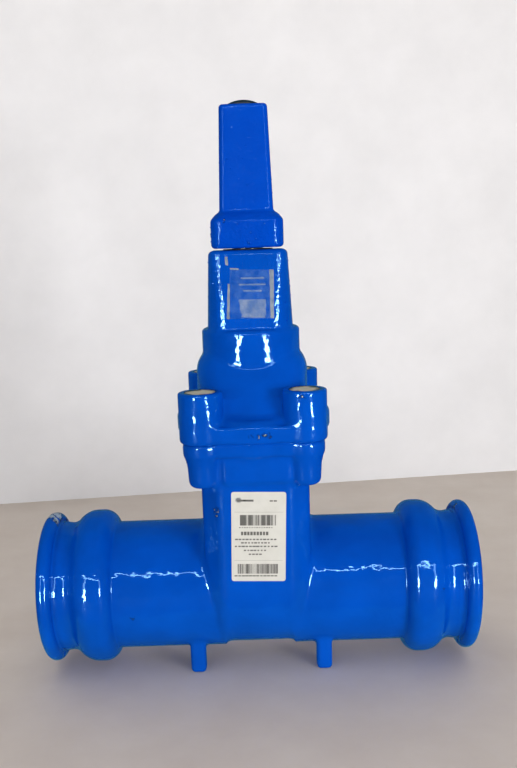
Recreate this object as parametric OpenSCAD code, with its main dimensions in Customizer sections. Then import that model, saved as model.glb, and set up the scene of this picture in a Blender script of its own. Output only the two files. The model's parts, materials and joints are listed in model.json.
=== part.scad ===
// Resilient seat gate valve, push-fit socket ends, for buried 75 mm PVC water pipe.
// X runs along the pipe, Z is up, and the origin is on the floor under the stem.

/* [Sockets] */
// Outside diameter of the pipe that each socket takes
pipe_od = 75; // [63:1:75]
// Room between the pipe and the socket bore, on the diameter
pipe_play = 2.2; // [1:0.2:3]
// Diameter of the waterway
flow_d = 65; // [50:1:65]
// Length over the two socket mouths
face_to_face = 293; // [288:1:320]
// How deep the pipe goes into a socket
socket_depth = 96; // [80:1:98]
// Outside diameter of the barrels
barrel_d = 88; // [87:0.5:92]
// Outside diameter of the bulge over each seal
bulge_d = 105.4; // [104:0.2:108]
// Outside diameter of the mouth rim
rim_d = 103.2; // [100:0.2:104]

/* [Body] */
// Height of the pipe axis above the floor
axis_h = 56; // [55:0.5:64]
// Width of the wedge chamber along the pipe
chamber_x = 70; // [70:0.5:74]
// Depth of the wedge chamber across the pipe
chamber_y = 102; // [102:0.5:106]
// Height of the joint face above the pipe axis
joint_z = 110.5; // [108:0.5:114]
// Distance from the stem axis to a foot, along the pipe
foot_x = 43.3; // [42:0.1:60]
// Distance from the stem axis to the middle of a foot, across the pipe
foot_y = 24; // [22:1:30]

/* [Bonnet] */
// Spacing of the bonnet screws along the pipe
screw_x = 65; // [64:0.5:66]
// Spacing of the bonnet screws across the pipe
screw_y = 93.4; // [92:0.2:95]
// Outside diameter of the screw bosses
boss_d = 28; // [27:0.2:28.4]
// Height of the screw bosses above the joint face
boss_h = 31.9; // [30:0.1:34]
// Height of the bonnet's top above the pipe axis
bonnet_top = 227.4; // [226:0.1:227.6]

/* [Stem and wedge] */
// Diameter of the stem
stem_d = 20; // [18:0.5:20]
// Lead of the stem's thread
pitch = 5; // [4:0.5:5]
// Turns from closed to open
turns = 15; // [13:1:15]
// How far the wedge stands open, 0 is closed
wedge_lift = 0; // [0:1:75]
// Width across the flats of the stem's square end
stem_square = 17.3; // [16:0.1:18]

/* [Cap] */
// Width of the cap's square at its top
cap_top_w = 30.4; // [29:0.1:31]
// Width of the cap's square at its foot
cap_foot_w = 35.2; // [34:0.1:36]
// Height of the cap's top above the pipe axis
cap_top = 315.2; // [312:0.2:318]

/* [Hidden] */

$fn = 96;
eps = 0.01;
paint = "#0055cc";
rubber = "#1b1c1e";
brass = "#b79a4d";
steel = "#b9bcbf";
wax = "#b0a888";
nylon = "#e9e6da";
iron = "#55585b";

// Sockets, from the mouth inwards
half_l = face_to_face / 2;
socket_r = (pipe_od + pipe_play) / 2;
stop_x = half_l - socket_depth;
barrel_r = barrel_d / 2;
barrel_x0 = 24;
bulge_x = half_l - 34.8;
bulge_arc = 15;
bulge_r0 = bulge_d / 2 - bulge_arc;
shoulder_x = half_l - 38.6;
shoulder_arc = 10;
shoulder_r0 = bulge_d / 2 - shoulder_arc;
neck_fillet = 9;
band_x = half_l - 14.4;
band_arc = 10.8;
band_rise = 0.8;
rim_arc = 3.2;
rim_w = 9.3;
groove_x = half_l - 43;
groove_w = 15;
groove_r = bulge_d / 2 - 6;

// Body
chamber_wall = 6;
chamber_low = 10;
chamber_corner = 15;
waist_x = 26;
waist = [[35, 28], [31, 12], [27, -8]];
cavity_corner = 14;
seat_corner = 4;
seat_gap = 48.4;
seat_top = 42;
cavity_x = 56;
cavity_y = chamber_y - 2 * chamber_wall;
flange_t = 9;
flange_inset = 2.5;
column_d = 20;
column_foot_d = 18.6;
column_h = 29;
column_round = 4;
column_flare = 2.2;
panel_w = 50;
panel_z0 = 84;
panel_front = 53.5;
foot_t = 10.6;
foot_len = 12;
foot_flat = 4.9;
gasket_w = 3;
gasket_t = 3;
gasket_inset = 1;

// Bonnet
plate_t = 9;
plate_side = 51.2;
plate_bow = 60;
plate_side_t = 14;
plate_front = 59;
hood_x = 73.6;
hood_y = 97;
hood_ball = 57;
hood_ball_z = 118;
apron_w = 44;
apron_top = 129;
collar_w = 63.8;
collar_z0 = 150;
collar_z1 = 177;
tube_foot_w = 58.8;
tube_top_w = 50.6;
tube_flat = 36;
tube_round = 2.2;
seal_z = 152;
seal_t = 9;
seal_d = 31;
bearing_z = 180.5;
bearing_d = 34;

// Screws
screw_d = 10;
screw_head_d = 16;
screw_head_h = 10;
counterbore_d = 19;
seat_h = 10;
screw_len = 30;
wax_sunk = 1;

// Stem and wedge
lift = min(wedge_lift, pitch * turns);
stem_foot = 36;
collar_t = 6;
collar_d = 32;
square_z0 = 228.4;
square_z1 = 262;
wiper_top = 228;
stem_play = 0.25;
wedge_r = 40;
wedge_low = 6;
wedge_top = 40;
wedge_t = seat_gap - 0.6;
wedge_face = 38;
port_rim = flow_d / 2 + 0.6;
core_r = 35;
core_t = 30;
core_top = 36;
head_y = 42;
head_top = 60;
stem_hole_d = 25;
nut_w = 26;
nut_z0 = 40;
nut_z1 = 56;
shoe_t = 4;
shoe_w = 18;
shoe_h = 30;

// Cap
cap_z0 = 228.5;
cap_base_w = 46.8;
cap_base_z1 = 246.6;
cap_step_w = 37.6;
cap_step_z1 = 251.2;
cap_socket_z1 = 266;
plug_d = 20.4;
plug_z0 = 301;
plug_lip = 1.2;
plug_dome = 2.6;
plug_ball = 21.5;
cap_seat_z = 286;

// ---- Helpers ----

// Turns a shape made about Z so that its axis runs along +X
module along_x() {
    rotate([0, 90, 0]) children();
}

// The same shape at both ends of the pipe
module both_ends() {
    children();
    mirror([1, 0, 0]) children();
}

// Copies at the four places (x, y), (-x, y), (-x, -y), (x, -y)
module at_corners(x, y) {
    for (sx = [-1, 1], sy = [-1, 1])
        translate([sx * x, sy * y, 0]) children();
}

// A rectangle with round corners, made of true arcs
module round_rect(w, d, r) {
    square([w - 2 * r, d], center = true);
    square([w, d - 2 * r], center = true);
    at_corners(w / 2 - r, d / 2 - r) circle(r);
}

// A ring between two radii and two heights
module ring(r_in, r_out, z0, z1) {
    translate([0, 0, z0])
        difference() {
            cylinder(r = r_out, h = z1 - z0);
            translate([0, 0, -1]) cylinder(r = r_in, h = z1 - z0 + 2);
        }
}

// Fills the inside corner between an arc at (r0, x0) and a straight neck of radius r1
module neck_fillet_2d(r0, x0, arc, r1, fillet) {
    rise = r1 + fillet - r0;
    run = sqrt(pow(arc + fillet, 2) - rise * rise);
    difference() {
        polygon([[r0, x0], [r0 + rise, x0 + run], [r1 - 1, x0 + run], [r1 - 1, x0]]);
        translate([r0 + rise, x0 + run]) circle(fillet);
    }
}

// Where the screw number i stands
function screw_at(i) = [
    (i == 1 || i == 4 ? -1 : 1) * screw_x / 2,
    (i < 3 ? -1 : 1) * screw_y / 2,
    0
];

// ---- Body ----

// Outside of one socket, radius against distance from the stem
module socket_outside_2d() {
    translate([0, barrel_x0]) square([barrel_r, half_l - 4 - barrel_x0]);
    translate([bulge_r0, bulge_x]) circle(bulge_arc);
    translate([shoulder_r0, shoulder_x]) circle(shoulder_arc);
    translate([bulge_r0, shoulder_x]) square([bulge_arc, bulge_x - shoulder_x]);
    neck_fillet_2d(bulge_r0, bulge_x, bulge_arc, barrel_r, neck_fillet);
    translate([barrel_r + band_rise - band_arc, band_x]) circle(band_arc);
    translate([rim_d / 2 - rim_arc, half_l - rim_arc]) circle(rim_arc);
    translate([rim_d / 2 - rim_arc, half_l - rim_w + rim_arc]) circle(rim_arc);
    translate([0, half_l - rim_w]) square([rim_d / 2 - rim_arc, rim_w]);
    translate([0, half_l - rim_w + rim_arc]) square([rim_d / 2, rim_w - 2 * rim_arc]);
}

// Hollow of one socket: waterway, pipe bore, seal groove and chamfered mouth
module socket_inside_2d() {
    square([flow_d / 2, stop_x + 1]);
    translate([0, stop_x]) square([socket_r, half_l - stop_x + 1]);
    translate([0, groove_x]) square([groove_r, groove_w]);
    polygon([[0, half_l - 4], [socket_r, half_l - 4], [socket_r + 3, half_l + 1], [0, half_l + 1]]);
}

// The U-shaped outline of the chamber, seen along the pipe
module chamber_profile(w, top) {
    translate([0, chamber_low]) circle(w / 2);
    translate([-w / 2, chamber_low]) square([w, top - chamber_low]);
}

// A U-shaped block: the profile runs along X, and corners are round in plan
module u_block(x, y, corner, top) {
    intersection() {
        translate([-x / 2, 0, 0]) rotate([90, 0, 90]) linear_extrude(x) chamber_profile(y, top);
        translate([0, 0, -y]) linear_extrude(top + y) round_rect(x, y, corner);
    }
}

// The chamber's front outline: straight sides that draw in to a waist at the pipe
module waist_outline() {
    right = [for (p = waist) [p[0] * chamber_x / 70, p[1]]];
    left = [for (i = [len(right) - 1:-1:0]) [-right[i][0], right[i][1]]];
    polygon(concat(
        [[-chamber_x / 2, joint_z], [chamber_x / 2, joint_z]],
        right,
        [[waist_x, -30], [waist_x, -chamber_y], [-waist_x, -chamber_y], [-waist_x, -30]],
        left
    ));
}

module chamber_outside() {
    intersection() {
        u_block(chamber_x, chamber_y, chamber_corner, joint_z);
        translate([0, chamber_y, 0])
            rotate([90, 0, 0])
            linear_extrude(2 * chamber_y)
            waist_outline();
    }
}

// Plan of the flanges at the joint face, smaller by inset all round
module flange_plan(inset) {
    square([screw_x + boss_d - 2 * inset, screw_y], center = true);
    square([screw_x, 2 * (plate_front - inset)], center = true);
    at_corners(screw_x / 2, screw_y / 2) circle(boss_d / 2 - inset);
}

// The two bowed sides of a flange: where two turned discs, set apart along X, overlap
module bowed_sides(inset) {
    shift = plate_bow - plate_side;
    intersection() {
        translate([-shift, 0, 0]) rotate_extrude() edge_ring(plate_bow - inset) children();
        translate([shift, 0, 0]) rotate_extrude() edge_ring(plate_bow - inset) children();
    }
}

// Moves an edge profile, drawn with its edge at 0, out to a radius and trims it at the axis
module edge_ring(radius) {
    intersection() {
        translate([radius, 0]) children();
        translate([0, -200]) square([radius + 100, 400]);
    }
}

// Edge profile of the body's flange: upright lip, then a long slope in underneath
module body_flange_edge() {
    polygon([[-60, 0], [0, 0], [0, 2 - flange_t], [-1, -flange_t], [-9, -24], [-60, -24]]);
}

// Edge profile of the bonnet's flange: upright below, round above
module bonnet_flange_edge() {
    translate([-60, 0]) square([60, plate_side_t - 6]);
    translate([-60, 0]) square([54, plate_side_t]);
    translate([-6, plate_side_t - 6]) circle(6);
}

// A blind column under the body's flange that takes one screw
module column() {
    foot_r = column_foot_d / 2;
    top_r = column_d / 2;
    rotate_extrude() {
        polygon([
            [0, column_round], [foot_r, column_round],
            [top_r, column_h - 15], [top_r + column_flare, column_h - flange_t + 2],
            [top_r + column_flare, column_h], [0, column_h]
        ]);
        square([foot_r - column_round, column_h]);
        translate([foot_r - column_round, column_round]) circle(column_round);
    }
}

// The raised front of the flange block, between two columns
module front_panel() {
    edge = 4;
    translate([-panel_w / 2, 0, 0])
        rotate([90, 0, 90])
        linear_extrude(panel_w) {
            translate([-panel_front, panel_z0 + edge]) square([panel_front, joint_z - panel_z0 - edge]);
            translate([edge - panel_front, panel_z0]) square([panel_front, edge + 1]);
            translate([edge - panel_front, panel_z0 + edge]) circle(edge);
        }
}

module foot() {
    round_z = foot_t / 2;
    translate([0, foot_len / 2, 0])
        rotate([90, 0, 0])
        linear_extrude(foot_len)
        intersection() {
            union() {
                translate([0, foot_flat]) circle(round_z);
                translate([-round_z, foot_flat]) square([foot_t, axis_h - foot_flat - 10]);
            }
            translate([-foot_t, 0]) square([2 * foot_t, axis_h]);
        }
}

module body_outside() {
    both_ends() along_x() rotate_extrude() socket_outside_2d();
    chamber_outside();
    translate([0, 0, joint_z - flange_t]) linear_extrude(flange_t) flange_plan(flange_inset);
    translate([0, 0, joint_z]) bowed_sides(flange_inset) body_flange_edge();
    translate([0, 0, joint_z - column_h]) at_corners(screw_x / 2, screw_y / 2) column();
    front_panel();
    mirror([0, 1, 0]) front_panel();
    translate([0, 0, -axis_h]) at_corners(foot_x, foot_y) foot();
}

module body() {
    color(paint)
        translate([0, 0, axis_h])
        difference() {
            body_outside();
            both_ends() along_x() rotate_extrude() socket_inside_2d();
            u_block(seat_gap, cavity_y, seat_corner, joint_z + 1);
            translate([0, 0, seat_top])
                linear_extrude(joint_z)
                round_rect(cavity_x, cavity_y, cavity_corner);
            translate([0, 0, joint_z - screw_len + seat_h - 2])
                at_corners(screw_x / 2, screw_y / 2)
                cylinder(d = screw_d, h = screw_len);
            translate([0, 0, joint_z - gasket_t]) linear_extrude(gasket_t + 1) gasket_plan();
        }
}

// Rounded band that the gasket fills, round the mouth of the chamber
module gasket_plan() {
    w = cavity_x + 2 * gasket_inset;
    d = cavity_y + 2 * gasket_inset;
    difference() {
        round_rect(w + 2 * gasket_w, d + 2 * gasket_w, cavity_corner + gasket_inset + gasket_w);
        round_rect(w, d, cavity_corner + gasket_inset);
    }
}

module bonnet_gasket() {
    color(rubber)
        translate([0, 0, axis_h + joint_z - gasket_t])
        linear_extrude(gasket_t)
        gasket_plan();
}

// Rubber ring in a socket: heel in the groove, lip towards the pipe
module socket_seal() {
    lip_r = socket_r + 0.2;
    color(rubber)
        translate([0, 0, axis_h])
        along_x()
        rotate_extrude()
        difference() {
            translate([lip_r, groove_x]) square([groove_r - lip_r, groove_w]);
            translate([lip_r + 3, groove_x - 1]) square([1.6, groove_w - 4]);
        }
}

// ---- Bonnet ----

// A hood with an arched outline along the pipe, another across it, and round corners in plan
module hood(x, y, corner, z0, arc_x, arc_y, centre_x, centre_y) {
    intersection() {
        translate([0, y, 0])
            rotate([90, 0, 0])
            linear_extrude(2 * y)
            arch(x, z0, arc_x, centre_x);
        translate([-x, 0, 0])
            rotate([90, 0, 90])
            linear_extrude(2 * x)
            arch(y, z0, arc_y, centre_y);
        translate([0, 0, z0]) linear_extrude(80) round_rect(x, y, corner);
        translate([0, 0, hood_ball_z]) sphere(hood_ball + (y - hood_y) / 2);
    }
}

// Straight sides from z0 up to the height centre, then arcs in to a flat top
module arch(w, z0, arc, centre) {
    translate([-w / 2, z0]) square([w, centre - z0]);
    translate([arc - w / 2, z0]) square([w - 2 * arc, centre + arc - z0]);
    for (side = [-1, 1])
        translate([side * (w / 2 - arc), centre]) circle(arc);
}

// A square whose four sides bow out a little
module bowed_square(w) {
    bow = 44;
    reach = bow - w / 2;
    intersection() {
        translate([reach, 0]) circle(bow);
        translate([-reach, 0]) circle(bow);
        translate([0, reach]) circle(bow);
        translate([0, -reach]) circle(bow);
        circle(w * 0.56);
    }
}

module octagon(w, flat) {
    intersection() {
        square(w, center = true);
        rotate(45) square((w + flat) / sqrt(2), center = true);
    }
}

module bonnet_tube() {
    hull() {
        translate([0, 0, collar_z0]) linear_extrude(eps) octagon(tube_foot_w, tube_flat);
        translate([0, 0, bonnet_top - tube_round])
            linear_extrude(eps)
            octagon(tube_top_w, tube_flat - 2);
        translate([0, 0, bonnet_top - eps])
            linear_extrude(eps)
            octagon(tube_top_w - 2 * tube_round, tube_flat - 4);
    }
}

module bonnet_collar() {
    translate([0, 0, collar_z0]) linear_extrude(collar_z1 - 1.5 - collar_z0) bowed_square(collar_w);
    translate([0, 0, collar_z1 - 1.6]) linear_extrude(1.6) bowed_square(collar_w - 2.4);
}

module boss() {
    edge = 1.2;
    rotate_extrude() {
        square([boss_d / 2, boss_h - edge]);
        square([boss_d / 2 - edge, boss_h]);
        translate([boss_d / 2 - edge, boss_h - edge]) circle(edge);
    }
}

// The slope in front of the hood that runs down to the edge of the plate
module apron() {
    translate([-apron_w / 2, 0, 0])
        rotate([90, 0, 90])
        linear_extrude(apron_w)
        polygon([
            [1 - plate_front, joint_z], [1 - plate_front, joint_z + plate_t - 1],
            [3 - plate_front, joint_z + plate_t], [12 - plate_front, apron_top], [0, apron_top], [0, joint_z]
        ]);
}

// A web from the hood out to one screw boss
module web(turn) {
    rotate([0, 0, turn])
        translate([0, -7, joint_z])
        cube([norm([screw_x, screw_y]) / 2, 14, boss_h - 9]);
}

module bonnet_outside() {
    corner_turn = atan2(screw_y, screw_x);
    translate([0, 0, joint_z]) linear_extrude(plate_t) flange_plan(0);
    translate([0, 0, joint_z]) bowed_sides(0) bonnet_flange_edge();
    for (turn = [corner_turn, 180 - corner_turn, 180 + corner_turn, -corner_turn]) web(turn);
    apron();
    mirror([0, 1, 0]) apron();
    hood(hood_x, hood_y, 16, joint_z, 24, 28, 136, 130);
    bonnet_collar();
    bonnet_tube();
    translate([0, 0, joint_z]) at_corners(screw_x / 2, screw_y / 2) boss();
}

module bonnet() {
    color(paint)
        translate([0, 0, axis_h])
        difference() {
            bonnet_outside();
            translate([0, 0, joint_z - 1])
                linear_extrude(8)
                round_rect(cavity_x, cavity_y, cavity_corner);
            hood(cavity_x, cavity_y - 5, cavity_corner, joint_z - 1, 18, 21, 130, 124);
            translate([0, 0, joint_z]) cylinder(d = stem_d + 2, h = 100);
            translate([0, 0, joint_z]) cylinder(d = seal_d, h = seal_z + seal_t - joint_z);
            translate([0, 0, bearing_z]) cylinder(d = bearing_d, h = 100);
            translate([0, 0, joint_z - 1])
                at_corners(screw_x / 2, screw_y / 2)
                cylinder(d = screw_d + 1, h = seat_h + 2);
            translate([0, 0, joint_z + seat_h])
                at_corners(screw_x / 2, screw_y / 2)
                cylinder(d = counterbore_d, h = boss_h);
        }
}

// Hexagon socket head screw under its wax
module bonnet_screw(i) {
    color(steel)
        translate([0, 0, axis_h + joint_z + seat_h])
        translate(screw_at(i))
        difference() {
            union() {
                cylinder(d = screw_head_d, h = screw_head_h);
                translate([0, 0, 2 - screw_len]) cylinder(d = screw_d, h = screw_len);
            }
            translate([0, 0, screw_head_h / 2]) cylinder(d = 9.2, h = screw_head_h, $fn = 6);
        }
}

module wax_plug(i) {
    color(wax)
        translate([0, 0, axis_h + joint_z + seat_h + screw_head_h])
        translate(screw_at(i))
        cylinder(d = counterbore_d, h = boss_h - seat_h - screw_head_h - wax_sunk);
}

// ---- Stem ----

module stem() {
    color(steel)
        translate([0, 0, axis_h])
        difference() {
            union() {
                translate([0, 0, stem_foot]) cylinder(d = stem_d, h = square_z0 - stem_foot);
                intersection() {
                    translate([0, 0, square_z0])
                        linear_extrude(square_z1 - square_z0)
                        square(stem_square, center = true);
                    translate([0, 0, square_z0]) cylinder(d = stem_d + 2, h = 100);
                }
            }
            translate([0, 0, square_z1 - 22]) cylinder(d = screw_d, h = 30);
        }
}

module thrust_collar() {
    color(brass)
        translate([0, 0, axis_h])
        ring(stem_d / 2, collar_d / 2, bearing_z + 0.5, bearing_z + 0.5 + collar_t);
}

module stem_bushing() {
    color(nylon)
        translate([0, 0, axis_h])
        ring(stem_d / 2 + stem_play, bearing_d / 2, bearing_z + collar_t + 1, bonnet_top - 4);
}

module lip_seal() {
    color(rubber)
        translate([0, 0, axis_h])
        ring(stem_d / 2 + stem_play, seal_d / 2, seal_z, seal_z + seal_t);
}

// Wiper that closes the bonnet's mouth and stands up into the gap under the cap
module wiper_ring() {
    color(rubber)
        translate([0, 0, axis_h])
        rotate_extrude()
        difference() {
            union() {
                translate([0, bonnet_top - 4]) square([bearing_d / 2, 4]);
                translate([0, bonnet_top - 1]) square([bearing_d / 2 - 1, wiper_top - bonnet_top + 1]);
            }
            translate([0, bonnet_top - 5]) square([stem_d / 2 + stem_play, 20]);
        }
}

// ---- Cap ----

module cap_slab(w, r, z) {
    translate([0, 0, z]) linear_extrude(0.1) round_rect(w, w, r, $fn = 24);
}

// Tapered square that the operating key drops over, on a wider foot
module cap_outside() {
    hull() {
        cap_slab(cap_base_w - 5, 5, cap_z0);
        cap_slab(cap_base_w, 7, cap_z0 + 2.5);
        cap_slab(cap_base_w, 7, cap_base_z1 - 1);
        cap_slab(cap_base_w - 2, 6, cap_base_z1);
        cap_slab(cap_step_w, 4, cap_step_z1);
    }
    hull() {
        cap_slab(cap_foot_w, 3, cap_step_z1 - 7);
        cap_slab(cap_top_w, 3, cap_top - 2);
        cap_slab(cap_top_w - 3, 2, cap_top - 0.1);
    }
}

module stem_cap() {
    color(paint)
        translate([0, 0, axis_h])
        difference() {
            cap_outside();
            translate([0, 0, cap_z0 - 1])
                linear_extrude(cap_socket_z1 - cap_z0 + 1)
                square(stem_square + 0.4, center = true);
            translate([0, 0, cap_socket_z1 - 5]) cylinder(d = screw_d + 1, h = 100);
            translate([0, 0, cap_seat_z]) cylinder(d = plug_d, h = 100);
        }
}

module cap_screw() {
    color(steel)
        translate([0, 0, axis_h])
        difference() {
            union() {
                translate([0, 0, square_z1 - 20]) cylinder(d = screw_d, h = cap_seat_z - square_z1 + 21);
                translate([0, 0, cap_seat_z]) cylinder(d = screw_head_d + 3, h = 2);
                translate([0, 0, cap_seat_z + 2]) cylinder(d = screw_head_d, h = screw_head_h);
            }
            translate([0, 0, cap_seat_z + 7]) cylinder(d = 9.2, h = screw_head_h, $fn = 6);
        }
}

module cap_plug() {
    color(rubber)
        translate([0, 0, axis_h])
        rotate_extrude() {
            translate([0, plug_z0]) square([plug_d / 2, cap_top + plug_lip - plug_z0]);
            intersection() {
                translate([0, cap_top + plug_lip + plug_dome - plug_ball]) circle(plug_ball);
                translate([0, cap_top]) square([plug_d / 2, 10]);
            }
        }
}

// ---- Wedge ----

// Outline of the wedge seen along the pipe: half round below, square shoulders above
module wedge_outline(r, top) {
    translate([0, wedge_low]) circle(r);
    translate([-r, wedge_low]) square([2 * r, top - wedge_low]);
}

module wedge_block(r, top, t) {
    translate([-t / 2, 0, 0]) rotate([90, 0, 90]) linear_extrude(t) wedge_outline(r, top);
}

module core_block() {
    wedge_block(core_r, core_top, core_t);
    translate([-core_t / 2, -head_y / 2, 0]) cube([core_t, head_y, head_top]);
}

module wedge_core() {
    color(iron)
        translate([0, 0, axis_h + lift])
        difference() {
            core_block();
            translate([0, 0, -wedge_r]) cylinder(d = stem_hole_d, h = 120);
            translate([-core_t, -nut_w / 2, nut_z0]) cube([2 * core_t, nut_w, nut_z1 - nut_z0]);
        }
}

// Moulded rubber all round the core, with a raised sealing rim on both faces
module wedge_rubber() {
    color(rubber)
        translate([0, 0, axis_h + lift])
        difference() {
            union() {
                wedge_block(wedge_r, wedge_top, wedge_face);
                difference() {
                    wedge_block(wedge_r, wedge_top, wedge_t);
                    along_x() translate([0, 0, -wedge_t]) cylinder(r = port_rim, h = 2 * wedge_t);
                }
            }
            core_block();
            translate([0, 0, -wedge_r - 1]) cylinder(d = stem_hole_d, h = 120);
        }
}

module wedge_nut() {
    color(brass)
        translate([0, 0, axis_h + lift])
        difference() {
            translate([-core_t / 2, -nut_w / 2, nut_z0]) cube([core_t, nut_w, nut_z1 - nut_z0]);
            cylinder(d = stem_d + 2 * stem_play, h = 100);
        }
}

module guide_shoe(side) {
    color(nylon)
        translate([0, side * (wedge_r + shoe_t / 2), axis_h + lift])
        translate([-shoe_w / 2, -shoe_t / 2, wedge_low + 2])
        cube([shoe_w, shoe_t, shoe_h]);
}

body();
bonnet();
bonnet_gasket();
bonnet_screw(1);  // bonnet_screw_1
bonnet_screw(2);  // bonnet_screw_2
bonnet_screw(3);  // bonnet_screw_3
bonnet_screw(4);  // bonnet_screw_4
wax_plug(1);  // wax_plug_1
wax_plug(2);  // wax_plug_2
wax_plug(3);  // wax_plug_3
wax_plug(4);  // wax_plug_4
mirror([1, 0, 0]) socket_seal();  // socket_seal_left
socket_seal();  // socket_seal_right
stem();
thrust_collar();
stem_bushing();
lip_seal();
wiper_ring();
stem_cap();
cap_screw();
cap_plug();
wedge_core();
wedge_rubber();
wedge_nut();
guide_shoe(-1);  // guide_shoe_front
guide_shoe(1);  // guide_shoe_rear
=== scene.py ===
# %% [markdown]
# # A resilient seat gate valve for buried water pipe
#
# The valve is a ductile iron casting, dipped hot into blue epoxy powder, with a
# push-fit socket for a plastic pipe at each end. A square cap on the stem takes
# the long key that opens and closes it. The construction model gives every part
# its place and size. This notebook gives the castings their soft cast edges,
# gives every surface its finish, and lights the valve in a plain studio.

import json
import math

import bpy
import numpy as np
from mathutils import Matrix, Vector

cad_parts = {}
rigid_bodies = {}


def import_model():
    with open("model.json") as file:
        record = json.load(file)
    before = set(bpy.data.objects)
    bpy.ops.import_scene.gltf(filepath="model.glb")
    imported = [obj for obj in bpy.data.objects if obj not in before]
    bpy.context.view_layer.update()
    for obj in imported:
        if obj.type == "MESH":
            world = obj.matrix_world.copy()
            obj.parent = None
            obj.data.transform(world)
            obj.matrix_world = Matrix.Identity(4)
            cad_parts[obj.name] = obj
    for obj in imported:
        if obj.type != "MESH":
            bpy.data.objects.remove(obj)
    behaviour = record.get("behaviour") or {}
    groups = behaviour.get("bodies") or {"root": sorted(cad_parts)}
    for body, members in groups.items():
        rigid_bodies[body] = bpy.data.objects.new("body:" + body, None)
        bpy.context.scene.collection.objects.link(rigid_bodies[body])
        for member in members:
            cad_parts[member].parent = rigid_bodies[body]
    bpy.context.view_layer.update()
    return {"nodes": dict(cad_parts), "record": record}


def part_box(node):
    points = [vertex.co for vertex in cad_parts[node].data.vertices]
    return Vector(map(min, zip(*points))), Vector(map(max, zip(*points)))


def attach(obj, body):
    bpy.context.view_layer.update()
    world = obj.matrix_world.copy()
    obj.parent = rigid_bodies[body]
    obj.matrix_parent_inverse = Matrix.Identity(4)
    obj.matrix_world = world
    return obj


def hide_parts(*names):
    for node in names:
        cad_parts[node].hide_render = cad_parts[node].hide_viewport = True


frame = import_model()
nodes = frame["nodes"]
print("parts loaded:", len(nodes))

# %% [markdown]
# ## Where things are
#
# Lengths in this notebook are written in millimetres from the crossing of the
# pipe axis and the stem axis, as on a maker's drawing. Blender works in metres
# from the floor, so one function turns drawing places into Blender places. The
# height of the pipe axis comes from the record's socket mount.

# %% Drawing places to Blender places
scene = bpy.context.scene
mounts = {m["name"]: m for m in frame["record"]["mounts"]}
AXIS = mounts["socket_right"]["pos_m"][2]
SOCKET_R = mounts["socket_right"]["dims"]["r_mm"]
SCREW_X, SCREW_Y = 32.5, 46.7
FLOOR_Z, JOINT_Z, TUBE_TOP = -56, 110.5, 227.4
BARREL_R, FLOW_R = 44, 32.5


def placed(points):
    """Drawing millimetres about the pipe axis, to Blender metres above the floor."""
    points = np.asarray(points, dtype=float)
    return points / 1000 + np.array([0, 0, AXIS])


print(f"pipe axis {AXIS * 1000:.1f} mm above the floor, socket bore {2 * SOCKET_R:.1f} mm")

# %% [markdown]
# ## Cast skins from a distance field
#
# A casting has no sharp corners: the pattern is filleted wherever two shapes
# meet, and the thick powder coat rounds what is left. Bevels and subdivision
# surfaces struggle where a round barrel runs into a waisted box. A distance
# field makes it easy. Each shape is a function that gives the distance to its
# surface, and two shapes are joined by a formula that rolls a fillet of a
# chosen radius into the corner between them.

# %% Distance field helpers
def join(a, b, r):
    """Union of two fields with a fillet of radius r in the corner."""
    corner = np.hypot(np.maximum(r - a, 0), np.maximum(r - b, 0))
    return np.maximum(r, np.minimum(a, b)) - corner


def meet(a, b, r):
    """Overlap of two fields with the edge rounded to radius r."""
    return -join(-a, -b, r)


def cut(a, b, r):
    """Field a with b taken out of it, and the edge rounded to radius r."""
    return -join(-a, b, r)


def rect(u, v, half_u, half_v, r):
    """A rectangle with round corners, seen square on."""
    du = abs(u) - half_u + r
    dv = abs(v) - half_v + r
    outside = np.hypot(np.maximum(du, 0), np.maximum(dv, 0))
    return outside + np.minimum(np.maximum(du, dv), 0) - r


def bowed(x, y, half_x, half_y, bow, r):
    """A rectangle whose sides bow out to the radius bow, with round corners."""
    side = np.hypot(abs(x) + bow - half_x, y) - bow
    front = np.hypot(x, abs(y) + bow - half_y) - bow
    return meet(side, front, r)


def blend_table(heights, values, soft):
    """A smooth curve through a table of values, averaged over a length of 2 * soft."""
    fine = np.arange(-80.0, 340.0, 0.5)
    rough = np.interp(fine, heights, values)
    kernel = np.ones(int(4 * soft) | 1)
    pad = len(kernel) // 2
    smooth = np.convolve(np.pad(rough, pad, mode="edge"), kernel / kernel.sum(), "valid")
    return lambda z: np.interp(z, fine, smooth)


# %% [markdown]
# A field becomes a mesh by *surface nets*: space is divided into small cubes,
# each cube that the surface passes through gets one vertex, and neighbouring
# vertices are joined by quads. The vertices are then slid along the slope of
# the field until they lie exactly on the surface, so a coarse grid still gives
# true curves.

# %% Surface nets
CORNERS = np.array([(i, j, k) for i in (0, 1) for j in (0, 1) for k in (0, 1)])
EDGES = [(a, b) for a in range(8) for b in range(a, 8) if abs(CORNERS[a] - CORNERS[b]).sum() == 1]


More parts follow.
